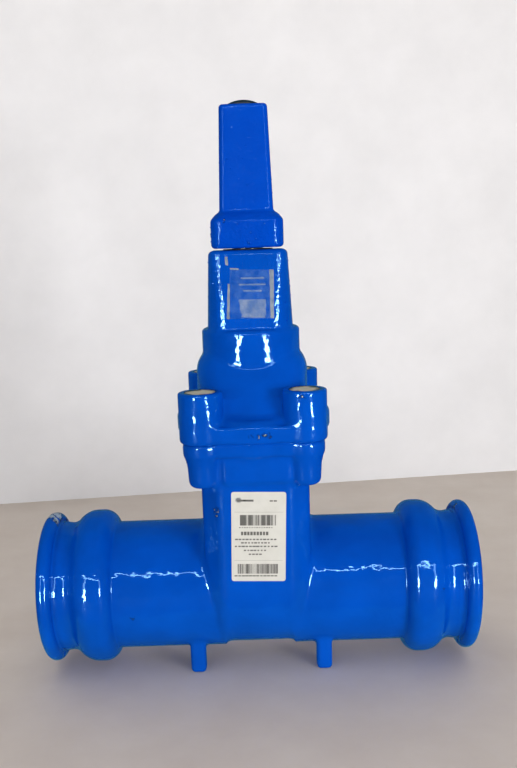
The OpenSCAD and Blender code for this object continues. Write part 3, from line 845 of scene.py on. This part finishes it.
wax, tree, shader, where = material("poured_sealing_wax")
flat = add(tree, "ShaderNodeVectorMath", {
    0: add(tree, "ShaderNodeVectorMath", {0: where}, {"operation": "ABSOLUTE"}), 1: (1, 1, 0)
}, {"operation": "MULTIPLY"})
from_middle = add(tree, "ShaderNodeVectorMath", {
    0: flat, 1: (SCREW_X / 1000, SCREW_Y / 1000, 0)
}, {"operation": "DISTANCE"})
blot = add(tree, "ShaderNodeTexNoise", {
    "Vector": where, "Scale": 260.0, "Detail": 5.0, "Roughness": 0.6
})
# Darker towards the edge of the plug, in a ragged band
edge_darkening = add(tree, "ShaderNodeMath", {
    0: blot, 1: 0.006, 2: from_middle
}, {"operation": "MULTIPLY_ADD"})
rim = add(tree, "ShaderNodeMapRange", {0: edge_darkening, 1: 0.0096, 2: 0.0125})
wire(tree, shader, {
    "Base Color": add(tree, "ShaderNodeMix", {
        "Factor": rim,
        "A": add(tree, "ShaderNodeMix", {
            "Factor": blot, "A": ink("#c6ba90"), "B": ink("#f4ecd0")
        }, {"data_type": "RGBA"}),
        "B": ink("#4a4434"),
    }, {"data_type": "RGBA"}),
    "Normal": add(tree, "ShaderNodeBump", {"Height": blot, "Distance": 0.0005, "Strength": 1.0}),
    "Roughness": 0.55,
    "IOR": 1.44,
    "Subsurface Weight": 0.15,
    "Subsurface Scale": 0.002,
})
for number, (x, y) in enumerate([(-1, -1), (1, -1), (1, 1), (-1, 1)], 1):
    wax_plug(number, x * SCREW_X, y * SCREW_Y)

# %% [markdown]
# ## Geometry Nodes: one way to run a tree
#
# Several things on the valve repeat by rule: the stem's thread, the nibs in the
# coat, the bars on the sticker. Each comes from a small node tree with named
# inputs. Two functions start and end a tree. A third runs it on a mesh, keeps the
# result as a plain mesh, and takes the modifier away again. A fourth takes the
# points and faces out of that mesh, where they go into a bigger piece.

# %% Geometry node helpers
KINDS = {"Geometry": "Geometry", "Count": "Int", "Seed": "Int"}


def node_group(name, *wants):
    """A geometry node tree with named inputs: decimals, but for a count and a seed."""
    tree = bpy.data.node_groups.new(name, "GeometryNodeTree")
    for label in ("Geometry", *wants):
        kind = "NodeSocket" + KINDS.get(label, "Float")
        tree.interface.new_socket(label, in_out="INPUT", socket_type=kind)
    tree.interface.new_socket("Geometry", in_out="OUTPUT", socket_type="NodeSocketGeometry")
    return tree, add(tree, "NodeGroupInput").outputs


def close_tree(tree, geometry, finish):
    """Ends a tree: instances made real, one material set, and out."""
    single = add(tree, "GeometryNodeRealizeInstances", {0: geometry})
    final = add(tree, "GeometryNodeSetMaterial", {"Geometry": single, "Material": finish})
    add(tree, "NodeGroupOutput", {0: final})
    print(f"{tree.name} tree: {len(tree.nodes)} nodes")


def grow(name, tree, values, start=None):
    """Runs a tree on a mesh with these input values, and keeps a plain mesh."""
    made = shown(name, start or bpy.data.meshes.new(name))
    modifier = made.modifiers.new("grow", "NODES")
    modifier.node_group = tree
    for socket in tree.interface.items_tree:
        if socket.name in values:
            modifier[socket.identifier] = values[socket.name]
    graph = bpy.context.evaluated_depsgraph_get()
    mesh = bpy.data.meshes.new_from_object(made.evaluated_get(graph), depsgraph=graph)
    made.modifiers.clear()
    made.data = mesh
    print(f"{name}: {len(mesh.polygons)} faces grown")
    return made


def taken(made):
    """The points in millimetres and the faces of an object, which is then removed."""
    points = np.array([v.co[:] for v in made.data.vertices]) * 1000
    faces = [list(p.vertices) for p in made.data.polygons]
    bpy.data.objects.remove(made)
    return points, faces


# %% [markdown]
# ## The threaded stem
#
# Turning the stem lifts the wedge, which carries a brass nut. The stem is a
# stainless bar with a trapezoidal thread of 5 mm lead, a smooth journal where
# the seals run, and a square end inside the cap. A thread follows one rule: how
# deep the tool cuts depends on the height and on the angle round the bar. So a
# plain turned bar goes in, and the tree moves each point inwards by that rule.

# %% Thread tree
# In turns from the crest's middle, where the crest ends and where the root starts
CREST, ROOT = 0.18, 0.30
RUN_OUT = 0.003
thread, given = node_group("thread", "Pitch", "Depth", "Bottom", "Top")
where = add(thread, "GeometryNodeInputPosition")
at = add(thread, "ShaderNodeSeparateXYZ", {0: where}).outputs
turned = add(thread, "ShaderNodeMath", {
    0: add(thread, "ShaderNodeMath", {0: at["Y"], 1: at["X"]}, {"operation": "ARCTAN2"}),
    1: 2 * math.pi,
}, {"operation": "DIVIDE"})
phase = add(thread, "ShaderNodeMath", {
    0: add(thread, "ShaderNodeMath", {0: at["Z"], 1: given["Pitch"]}, {"operation": "DIVIDE"}),
    1: turned,
}, {"operation": "SUBTRACT"})
groove = add(thread, "ShaderNodeMapRange", {
    0: add(thread, "ShaderNodeMath", {0: phase, 1: 0.5}, {"operation": "PINGPONG"}),
    1: CREST,
    2: ROOT,
})
after = add(thread, "ShaderNodeMath", {0: at["Z"], 1: given["Bottom"]}, {"operation": "SUBTRACT"})
before = add(thread, "ShaderNodeMath", {0: given["Top"], 1: at["Z"]}, {"operation": "SUBTRACT"})
fade = add(thread, "ShaderNodeMapRange", {
    0: add(thread, "ShaderNodeMath", {0: after, 1: before}, {"operation": "MINIMUM"}),
    1: 0.0,
    2: RUN_OUT,
})
deep = add(thread, "ShaderNodeMath", {
    0: add(thread, "ShaderNodeMath", {0: groove, 1: fade}, {"operation": "MULTIPLY"}),
    1: given["Depth"],
}, {"operation": "MULTIPLY"})
inward = add(thread, "ShaderNodeVectorMath", {
    0: add(thread, "ShaderNodeVectorMath", {0: where, 1: (-1, -1, 0)}, {"operation": "MULTIPLY"})
}, {"operation": "NORMALIZE"})
move = add(thread, "ShaderNodeVectorMath", {0: inward, "Scale": deep}, {"operation": "SCALE"})
moved = add(thread, "GeometryNodeSetPosition", {"Geometry": given["Geometry"], "Offset": move})
close_tree(thread, moved, FINISH["stainless_steel"])

# %% Stem
BAR_R, SIDES = 9.98, 48
rows = [(8.8, 36.0), (9.9, 37.0)] + [(BAR_R, z) for z in np.arange(37.5, 152, 0.5)]
rows += [(BAR_R, 160.0), (BAR_R, 200.0), (BAR_R, 228.3)]
bar_points = np.concatenate([upright_ring(r, z, SIDES) for r, z in rows])
ends = list(range(SIDES))[::-1], list(range(len(bar_points) - SIDES, len(bar_points)))
blank = bpy.data.meshes.new("bar")
bar_faces = [ends[0]] + bands(len(rows), SIDES) + [ends[1]]
blank.from_pydata(placed(bar_points).tolist(), [], bar_faces)
bar = grow("bar", thread, {
    "Pitch": 0.005, "Depth": 0.0024, "Bottom": AXIS + 0.038, "Top": AXIS + 0.150
}, blank)


def square_end(x, y, z):
    """The squared top of the stem, with its screw hole."""
    lean = np.hypot(x, y)
    end = meet(np.maximum(rect(x, y, 8.65, 8.65, 0.4), lean - 11), abs(z - 245.2) - 16.8, 0.8)
    return cut(end, np.maximum(lean - 5, 240 - z), 0.4)


end_points, end_quads = surface(square_end, (-13, -13, 226), (13, 13, 264), 0.8)
bar_points, bar_faces = taken(bar)
bar_points = bar_points - [0, 0, AXIS * 1000]
stem = piece(
    "threaded_stem", np.concatenate([bar_points, end_points]),
    bar_faces + (end_quads + len(bar_points)).tolist(), "spindle", SLOTS["stem"],
    finish=FINISH["stainless_steel"],
)
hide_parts("stem")

# %% [markdown]
# ## Socket seals
#
# Each socket holds a rubber ring with a thick heel in the groove and a lip that
# leans inwards, so that pushing the pipe home squeezes it, and water pressure
# presses it harder. Its outline is spun about the pipe axis.

# %% Seals
seal_line = [
    (103.9, 46.3), (104.4, 46.6), (111, 46.6), (117.6, 46.6), (118.2, 46.2), (118.3, 43.4),
    (117.2, 41.6), (115.6, 40.0), (114.2, 39.0), (113.2, 38.8), (111.6, 38.9), (110.9, 39.4),
    (110.6, 41.4), (109.8, 42.4), (108.6, 42.6), (107.6, 41.8), (107.0, 39.8), (106.4, 39.0),
    (105.4, 38.8), (104.4, 39.1), (103.9, 39.8), (103.8, 43.0),
]
SEAL_TURNS = 120
rubber = FINISH["black_rubber"]
for side, name in ((-1, "socket_seal_left"), (1, "socket_seal_right")):
    faces = [quad[::-side] for quad in bands(len(seal_line), SEAL_TURNS, closed=True)]
    points = pipe_rings(seal_line, side, SEAL_TURNS)
    ring = piece(name + "_lipped", points, faces, "valve", SLOTS[name], 60, rubber)
    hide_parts(name)

# %% [markdown]
# ## The sticker
#
# A goods label is stuck on the flat front of the chamber: white coated paper
# with printed bars and lines of small print. Here it carries plain bars and
# dashes only. The bars are a row that repeats with random widths, so a tree
# places them, with the seed fixed.

# %% Tree for a printed row
# Thermal print: dark grey rather than black, and rubbed thin in places
print_ink, tree, shader, where = material("printed_ink")
faded = add(tree, "ShaderNodeMix", {
    "Factor": add(tree, "ShaderNodeTexNoise", {"Vector": where, "Scale": 2500.0, "Detail": 2.0}),
    "A": ink("#333231"),
    "B": ink("#77756f"),
}, {"data_type": "RGBA"})
wire(tree, shader, {"Base Color": faded, "Roughness": 0.5})

INK_THICKNESS = 0.00002
row, given = node_group(
    "printed_row", "Length", "Height", "Count", "Thinnest", "Thickest", "Seed"
)
step = add(row, "ShaderNodeMath", {0: given["Length"], 1: given["Count"]}, {"operation": "DIVIDE"})
offset = add(row, "ShaderNodeCombineXYZ", {"X": step})
line = add(row, "GeometryNodeMeshLine", {"Count": given["Count"], "Offset": offset})
width = add(row, "FunctionNodeRandomValue", {
    "Min": given["Thinnest"], "Max": given["Thickest"], "Seed": given["Seed"]
})
size = add(row, "ShaderNodeCombineXYZ", {"X": width, "Y": given["Height"], "Z": INK_THICKNESS})
stroke = add(row, "GeometryNodeMeshCube")
strokes = {"Points": line, "Instance": stroke, "Scale": size}
close_tree(row, add(row, "GeometryNodeInstanceOnPoints", strokes), print_ink)

# %% Sticker: the paper
TILT = math.radians(-1.9)
MIDDLE_X, MIDDLE_Z, FRONT_Y = 1.0, 48.1, -51


def on_label(u, v, lift):
    """Label millimetres from its middle, to the drawing, on the chamber's flat front."""
    x = MIDDLE_X + u * math.cos(TILT) - v * math.sin(TILT)
    z = MIDDLE_Z + u * math.sin(TILT) + v * math.cos(TILT)
    return np.stack([x, np.full_like(x, FRONT_Y - lift), z], -1)


def slab(outline, low, high):
    """Points and faces of a flat sheet between two heights above the chamber."""
    u, v = np.array(outline, dtype=float).T
    n = len(u)
    faces = [list(range(n)), list(range(n, 2 * n))[::-1]]
    faces += [[j, j + n, (j + 1) % n + n, (j + 1) % n] for j in range(n)]
    return np.concatenate([on_label(u, v, high), on_label(u, v, low)]), faces


# The outline: a quarter round at each corner, from the top right one anticlockwise
HALF_WIDE, HALF_TALL, ROUND = 17.4, 29.9, 1.6
TEAR = (-11.6, FRONT_Y, 73.5)
outline = []
for quarter, (su, sv) in enumerate([(1, 1), (-1, 1), (-1, -1), (1, -1)]):
    for a in np.radians(np.arange(0, 91, 15) + 90 * quarter):
        outline.append((su * (HALF_WIDE - ROUND) + ROUND * math.cos(a),
                        sv * (HALF_TALL - ROUND) + ROUND * math.sin(a)))
# Coated paper: a greyed white with a faint stain, soft shine, and one worn grey spot
paper, tree, shader, where = material("coated_paper_sticker")
stain = add(tree, "ShaderNodeTexNoise", {
    "Vector": where, "Scale": 110.0, "Detail": 5.0, "Roughness": 0.6
})
ragged = add(tree, "ShaderNodeMath", {
    0: stain,
    1: 0.008,
    2: add(tree, "ShaderNodeVectorMath", {
        0: where, 1: tuple(placed(TEAR))
    }, {"operation": "DISTANCE"}),
}, {"operation": "MULTIPLY_ADD"})
torn = add(tree, "ShaderNodeMapRange", {0: ragged, 1: 0.0062, 2: 0.0052})
wire(tree, shader, {
    "Base Color": add(tree, "ShaderNodeMix", {
        "Factor": torn,
        "A": add(tree, "ShaderNodeMix", {
            "Factor": stain, "A": ink("#c4c3bb"), "B": ink("#d8d7d0")
        }, {"data_type": "RGBA"}),
        "B": ink("#6d7078"),
    }, {"data_type": "RGBA"}),
    "Normal": add(tree, "ShaderNodeBump", {"Height": stain, "Distance": 0.0004, "Strength": 0.6}),
    "Roughness": 0.38,
})
piece("goods_sticker", *slab(outline, 0.0, 0.14), "valve", SLOTS["body"], 30, paper)

# %% Sticker: the print
INK_LIFT = 0.15
ROWS = [  # left, middle height, length, height, count, thinnest, thickest
    (-11.5, 11.2, 23.0, 7.0, 30, 0.12, 1.0), (-13.2, -21.5, 26.0, 6.6, 36, 0.15, 0.85),
    (-10.6, 2.4, 18.0, 2.4, 9, 1.1, 1.7), (-14.2, -1.6, 27.0, 0.9, 12, 1.2, 2.2),
    (-10.4, -3.9, 19.0, 0.9, 9, 1.0, 2.1), (-14.6, -6.3, 28.0, 0.9, 12, 1.1, 2.2),
    (-8.8, -9.0, 15.0, 0.9, 7, 1.0, 1.9), (-5.6, -11.6, 9.0, 0.9, 4, 1.0, 2.0),
    (-14.6, -26.3, 28.0, 0.8, 12, 1.4, 2.3), (-12.0, 6.3, 22.0, 0.6, 14, 0.6, 1.1),
    (0.0, 16.6, 0.001, 0.1, 1, 31.0, 31.0), (0.0, -15.8, 0.001, 0.1, 1, 31.0, 31.0),
    (-11.0, 24.2, 9.0, 1.3, 2, 5.0, 7.0), (8.0, 24.0, 5.0, 0.9, 2, 1.8, 2.4),
]
print_points, print_faces = [], []
for seed, (left, mid, length, height, count, thin, thick) in enumerate(ROWS):
    grown = grow(f"printed_row_{seed}", row, {
        "Length": length / 1000, "Height": height / 1000, "Count": count,
        "Thinnest": thin / 1000, "Thickest": thick / 1000, "Seed": seed + 3,
    })
    first = sum(len(p) for p in print_points)
    points, faces = taken(grown)
    u, v, w = points.T
    print_points.append(on_label(left + u, mid + v, INK_LIFT + w))
    print_faces += [[first + number for number in face] for face in faces]
print_points = np.concatenate(print_points)
piece("sticker_print", print_points, print_faces, "valve", SLOTS["body"], 30, print_ink)

# %% [markdown]
# ## The clear film
#
# A clear plastic film is stuck on the front of the bonnet's tube. Its middle
# shows the blue through a faint haze, and its side edges have lifted and gone
# grey with dust. Film and edges are laid on the tube: a flat grid is slid along
# the slope of the bonnet's field until it lies a hair above the coat.

# %% Film: how a sheet is laid, and how it is coloured
UNDER_LIFT = 0.02


def laid(name, corners, lift, finish, steps, ragged, seed):
    """A thin sheet over the tube's front, between four drawing corners (x, z)."""
    rng = np.random.default_rng(seed)
    u, v = np.meshgrid(*(np.linspace(0, 1, n) for n in steps), indexing="ij")
    a, b, c, d = (np.array(corner)[:, None, None] for corner in corners)
    x, z = (1 - v) * ((1 - u) * a + u * b) + v * ((1 - u) * d + u * c)
    rim = (u == 0) | (u == 1)
    x = x + rim * rng.normal(0, ragged, x.shape)
    top = np.stack([x.ravel(), np.full(x.size, -30.0), z.ravel()], 1)
    for _ in range(4):
        top = slide(lambda *p: bonnet_field(*p) - lift, top, 4.0)
    under = slide(lambda *p: bonnet_field(*p) - UNDER_LIFT, top, 1.0)
    cell = np.arange(x.size).reshape(steps)
    quads = np.stack([cell[:-1, :-1], cell[:-1, 1:], cell[1:, 1:], cell[1:, :-1]], -1)
    quads = quads.reshape(-1, 4)
    loop = np.concatenate([cell[:-1, 0], cell[-1, :-1], cell[:0:-1, -1], cell[0, :0:-1]])
    after = np.roll(loop, -1)
    walls = np.stack([loop, after, after + x.size, loop + x.size], 1)
    a, b, c = top[quads[0, :3]]
    if np.cross(b - a, c - a)[1] > 0:
        quads, walls = quads[:, ::-1], walls[:, ::-1]
    faces = np.concatenate([quads, quads[:, ::-1] + x.size, walls])
    points = np.concatenate([top, under])
    piece(name, points, faces.tolist(), "valve", SLOTS["bonnet"], 60, finish)


def film_finish(name, low, high, alpha, rough, crinkle):
    """A see-through plastic finish of two mottled colours, with creases."""
    made, tree, shader, where = material(name)
    haze = add(tree, "ShaderNodeTexNoise", {"Vector": where, "Scale": 260.0, "Detail": 4.0})
    wire(tree, shader, {
        "Base Color": add(tree, "ShaderNodeMix", {
            "Factor": add(tree, "ShaderNodeMapRange", {0: haze, 1: 0.35, 2: 0.65}),
            "A": ink(low),
            "B": ink(high),
        }, {"data_type": "RGBA"}),
        "Normal": add(tree, "ShaderNodeBump", {
            "Height": haze, "Distance": crinkle / 1000, "Strength": 1.0
        }),
        "Roughness": rough,
        "Alpha": alpha,
    })
    return made


# %% Film: the finishes and the sheets
# Clear film barely tints the blue but has a sharp, creased shine. Its dusty edges
# are dull and grey, and the frosted patches lie between the two.
clear = film_finish("clear_pvc_film", "#2f6fc4", "#6ea2dc", 0.14, 0.12, 0.8)
dusty = film_finish("dusty_film_edge", "#7f92ab", "#a9b2b8", 0.55, 0.5, 0.2)
frosted = film_finish("frosted_film_patch", "#7fa6d8", "#c3d2e6", 0.28, 0.3, 0.4)
# Name, corners, height above the coat, finish, grid, raggedness and seed
FILM = [
    ("clear_film", [(-12.4, 216.6), (18.4, 215.2), (16.8, 184.8), (-15.4, 185.2)],
     0.10, clear, (20, 24), 0.0, 1),
    ("film_patch", [(-6.8, 197.4), (11.4, 197.0), (10.6, 185.4), (-5.4, 186.0)],
     0.13, frosted, (14, 12), 0.25, 3),
    ("film_edge_left", [(-14.6, 207.4), (-13.0, 207.2), (-14.0, 185.2), (-16.4, 185.3)],
     0.16, dusty, (4, 18), 0.12, 4),
    ("film_edge_right", [(14.8, 215.4), (18.9, 215.2), (17.3, 184.8), (14.4, 185.0)],
     0.16, dusty, (5, 24), 0.15, 5),
    ("film_edge_top", [(-12.4, 217.2), (-6.2, 216.8), (-6.2, 215.8), (-12.4, 216.2)],
     0.16, dusty, (14, 3), 0.0, 6),
    ("film_scrap", [(-16.6, 225.0), (-14.0, 225.0), (-13.8, 218.6), (-16.2, 219.2)],
     0.16, dusty, (4, 8), 0.15, 7),
]
STRIPS = [(-5.0, 10.5, 210.5), (-6.5, 11.5, 206.5), (-3.5, 8.5, 202.6)]  # left, right, height
for number, (left, right, z) in enumerate(STRIPS):
    corners = [(left, z + 0.7), (right, z + 0.3), (right, z - 0.7), (left, z - 0.3)]
    strip = (f"film_strip_{number}", corners, 0.13, frosted, (14, 3), 0.1, 20 + number)
    FILM.insert(2 + number, strip)
for sheet_of_film in FILM:
    laid(*sheet_of_film)

# %% [markdown]
# ## Nibs in the coat
#
# Powder that lands half melted leaves small hard nibs, thickest on the cap and
# on the corners of the tube. They catch the lamps as bright specks. A tree
# scatters them over a finished mesh between two heights, with a fixed seed, and
# each is a low sphere of twenty faces.

# %% Nib tree, and nibs on cap and tube
# Nearer to the axis than this lie the cap's own holes, which stay clean
HOLE_R = 0.0135
nibs, given = node_group(
    "coat_nibs", "Density", "Lowest", "Highest", "Radius", "Beside", "Seed"
)
where = add(nibs, "GeometryNodeInputPosition")
at = add(nibs, "ShaderNodeSeparateXYZ", {0: where}).outputs
above = add(nibs, "ShaderNodeMath", {0: at["Z"], 1: given["Lowest"]}, {"operation": "GREATER_THAN"})
below = add(nibs, "ShaderNodeMath", {0: at["Z"], 1: given["Highest"]}, {"operation": "LESS_THAN"})
beside = add(nibs, "ShaderNodeMath", {
    0: add(nibs, "ShaderNodeMath", {0: at["X"]}, {"operation": "ABSOLUTE"}), 1: given["Beside"]
}, {"operation": "GREATER_THAN"})
far = add(nibs, "ShaderNodeVectorMath", {
    0: add(nibs, "ShaderNodeVectorMath", {0: where, 1: (1, 1, 0)}, {"operation": "MULTIPLY"})
}, {"operation": "LENGTH"})
outer = add(nibs, "ShaderNodeMath", {0: far, 1: HOLE_R}, {"operation": "GREATER_THAN"})
chosen = add(nibs, "ShaderNodeMath", {
    0: add(nibs, "ShaderNodeMath", {0: above, 1: below}, {"operation": "MULTIPLY"}), 1: beside
}, {"operation": "MULTIPLY"})
spots = add(nibs, "GeometryNodeDistributePointsOnFaces", {
    "Mesh": given["Geometry"],
    "Selection": add(nibs, "ShaderNodeMath", {0: chosen, 1: outer}, {"operation": "MULTIPLY"}),
    "Density": given["Density"],
    "Seed": given["Seed"],
}).outputs
ball = add(nibs, "GeometryNodeMeshIcoSphere", {"Radius": given["Radius"], "Subdivisions": 1})
scale = add(nibs, "FunctionNodeRandomValue", {"Min": 0.35, "Max": 1.2, "Seed": 5})
low = add(nibs, "ShaderNodeMath", {0: scale, 1: 0.45}, {"operation": "MULTIPLY"})
squat = add(nibs, "ShaderNodeCombineXYZ", {"X": scale, "Y": scale, "Z": low})
scattered = add(nibs, "GeometryNodeInstanceOnPoints", {
    "Points": spots["Points"], "Instance": ball, "Rotation": spots["Rotation"], "Scale": squat
})
close_tree(nibs, scattered, cap_coat)

# Name, mesh, body, heights from and to, nibs to the square metre, radius, least |x|
for name, base, body_name, low, high, density, radius, beside in (
    ("cap_foot_nibs", cap, "spindle", 231.0, 246.0, 12000, 0.00085, 0.0),
    ("cap_square_nibs", cap, "spindle", 252.0, 290.0, 6500, 0.00055, 0.0),
    ("tube_nibs", bonnet, "valve", 180.0, 223.0, 9000, 0.00080, 0.0155),
):
    grown = grow(name, nibs, {
        "Density": density, "Lowest": AXIS + low / 1000, "Highest": AXIS + high / 1000,
        "Radius": radius, "Beside": beside, "Seed": 11,
    }, base.data.copy())
    grown.data.shade_smooth()
    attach(grown, body_name)

# %% [markdown]
# ## The studio
#
# A pale floor and a white wall, both clear from behind, so that the valve can be
# looked at from all sides. Two kinds of lamp light it. Some are only mirrored in
# the gloss: a bright and a dim one low on each side draw the upright highlights,
# and a long strip draws the streak along the barrels. Broad soft ones only fill:
# one on each side, one in front and one above. The gloss sees a painted
# reflection: a bright card painted on the floor close by, dark teal beyond it and
# on the wall, and a much dimmer air, which gives the blue its depth.

# %% Floor and wall
# Half the sides of the painted reflection card, a floor patch under the valve
PAINTED_REFLECTION_X, PAINTED_REFLECTION_Y = 0.24, 0.104


def sheet(name, corners, low, high, near, far):
    """A two-toned surface; glossy rays see a painted reflection: near on the card by the valve, and
    far beyond.
    """
    mesh = bpy.data.meshes.new(name)
    mesh.from_pydata(corners, [], [[0, 1, 2, 3]])
    made = shown(name, mesh)
    # Faint clouds of two tones keep the painted surface from looking dead flat
    finish, tree, shader, where = material(name)
    shade = add(tree, "ShaderNodeMix", {
        "Factor": add(tree, "ShaderNodeMapRange", {
            0: add(tree, "ShaderNodeTexNoise", {
                "Vector": where, "Scale": 14.0, "Detail": 6.0, "Roughness": 0.6
            }),
            1: 0.3,
            2: 0.7,
        }),
        "A": ink(low),
        "B": ink(high),
    }, {"data_type": "RGBA"})
    out = add(tree, "ShaderNodeVectorMath", {
        0: add(tree, "ShaderNodeVectorMath", {
            0: where, 1: (1 / PAINTED_REFLECTION_X, 1 / PAINTED_REFLECTION_Y, 0)
        }, {"operation": "MULTIPLY"}),
    }, {"operation": "ABSOLUTE"})
    out = add(tree, "ShaderNodeSeparateXYZ", {0: out}).outputs
    past_painted_card = add(tree, "ShaderNodeMapRange", {
        0: add(tree, "ShaderNodeMath", {0: out["X"], 1: out["Y"]}, {"operation": "MAXIMUM"}),
        1: 0.92,
        2: 1.08,
    })
    # Painted reflection: glossy rays see the colour near on the card and far beyond it, not the
    # surface's own colour
    painted_reflection_switch = add(tree, "ShaderNodeLightPath").outputs["Is Glossy Ray"]
    seen = add(tree, "ShaderNodeMix", {
        "Factor": painted_reflection_switch,
        "A": shade,
        "B": add(tree, "ShaderNodeMix", {
            "Factor": past_painted_card, "A": ink(near), "B": ink(far)
        }, {"data_type": "RGBA"}),
    }, {"data_type": "RGBA"})
    wire(tree, shader, {"Base Color": seen, "Roughness": 0.75})
    reverse = add(tree, "ShaderNodeNewGeometry").outputs["Backfacing"]
    clear = add(tree, "ShaderNodeBsdfTransparent")
    one_sided = add(tree, "ShaderNodeMixShader", {0: reverse, 1: shader, 2: clear})
    wire(tree, tree.nodes["Material Output"], {"Surface": one_sided})
    made.data.materials.append(finish)


# The wall slants, and passes 0.45 m behind the valve
ROOM, BACK, WALL_LEFT, WALL_RIGHT = 4, 1.2, -0.04, 0.94
# The last two colours are the painted reflection that glossy rays see: near on the card, and far
# beyond
sheet(
    "studio_floor", [(-ROOM, -ROOM, 0), (ROOM, -ROOM, 0), (ROOM, BACK, 0), (-ROOM, BACK, 0)],
    "#dccfc3", "#e6dbd0", "#50bccc", "#1c4a58",
)
left_end, right_end = (-ROOM, WALL_LEFT), (ROOM, WALL_RIGHT)
sheet(
    "studio_wall", [(*left_end, 0), (*right_end, 0), (*right_end, ROOM), (*left_end, ROOM)],
    "#ededef", "#f5f5f7", "#1f6f8e", "#1f6f8e",
)

world = bpy.data.worlds.new("studio_air")
world.use_nodes = True
air = world.node_tree
# Painted dark reflection: glossy rays see the air far dimmer than the light it gives
painted_reflection_switch = add(air, "ShaderNodeLightPath").outputs["Is Glossy Ray"]
wire(air, air.nodes["Background"], {
    "Color": ink("#ebe9e8"),
    "Strength": add(air, "ShaderNodeMapRange", {0: painted_reflection_switch, 1: 0.0, 2: 1.0, 3: 0.44, 4: 0.05}),
})
scene.world = world

# %% Lamps
AIM = np.array([0, 0, 0.12])
LAMPS = [  # name, place, width, height, watts, whether only the gloss sees it
    ("low_lamp_left", (-0.52, -0.86, 0.135), 0.15, 0.20, 6, True),
    ("low_lamp_right", (0.62, -0.84, 0.135), 0.16, 0.20, 6.5, True),
    ("dim_lamp_left", (-0.52, -0.86, 0.40), 0.15, 0.30, 0.9, True),
    ("dim_lamp_right", (0.62, -0.84, 0.40), 0.16, 0.30, 0.9, True),
    ("strip_lamp", (0.0, -1.40, 0.96), 2.8, 0.045, 9, True),
    ("fill_left", (-0.95, -1.30, 0.22), 0.5, 0.4, 3.5, False),
    ("fill_right", (1.0, -1.25, 0.22), 0.5, 0.4, 12, False),
    ("front_lamp", (0.15, -2.2, 0.32), 1.4, 0.6, 12.5, False),
    ("top_lamp", (0.0, -0.4, 2.0), 1.6, 1.6, 3, False),
]


def facing(place, right, up, back):
    """A matrix from a place and three directions, for a lamp or a camera."""
    rows = [[right[i], up[i], back[i], place[i]] for i in range(3)]
    return Matrix(rows + [[0, 0, 0, 1]])


for name, place, width, height, power, gloss_only in LAMPS:
    data = bpy.data.lights.new(name, "AREA")
    data.shape, data.size, data.size_y, data.energy = "RECTANGLE", width, height, power
    made = shown(name, data)
    made.visible_glossy, made.visible_diffuse = gloss_only, not gloss_only
    made.visible_camera = False
    back = np.array(place) - AIM
    back /= np.linalg.norm(back)
    right = np.cross([0, 0, 1], back)
    right /= np.linalg.norm(right)
    made.matrix_world = facing(place, right, np.cross(back, right), back)
print("lamps:", len(LAMPS))

# %% [markdown]
# ## The camera
#
# It looks down about 13 degrees at the front of the valve. The film is 36 mm on
# its long side. The picture is shifted up a little, so its middle lies above the
# spot that the camera points at.

# %% Camera
pitch, roll, yaw = (math.radians(a) for a in (12.987, -1.941, -0.236))
ahead = math.cos(pitch)
forward = np.array([math.sin(yaw) * ahead, math.cos(yaw) * ahead, -math.sin(pitch)])
sideways = np.array([math.cos(yaw), -math.sin(yaw), 0])
upward = np.cross(sideways, forward)
right = sideways * math.cos(roll) + upward * math.sin(roll)
up = upward * math.cos(roll) - sideways * math.sin(roll)
eye = placed([4.705, -607.492, 233.294])
data = bpy.data.cameras.new("studio_camera")
data.sensor_fit, data.sensor_width, data.lens = "AUTO", 36.0, 42.779
data.shift_x, data.shift_y = 0.0007, 0.0864
camera = shown("studio_camera", data)
camera.matrix_world = facing(eye, right, up, -forward)
scene.camera = camera
scene.view_settings.view_transform = "Standard"
print("camera at", [round(float(v), 3) for v in eye])
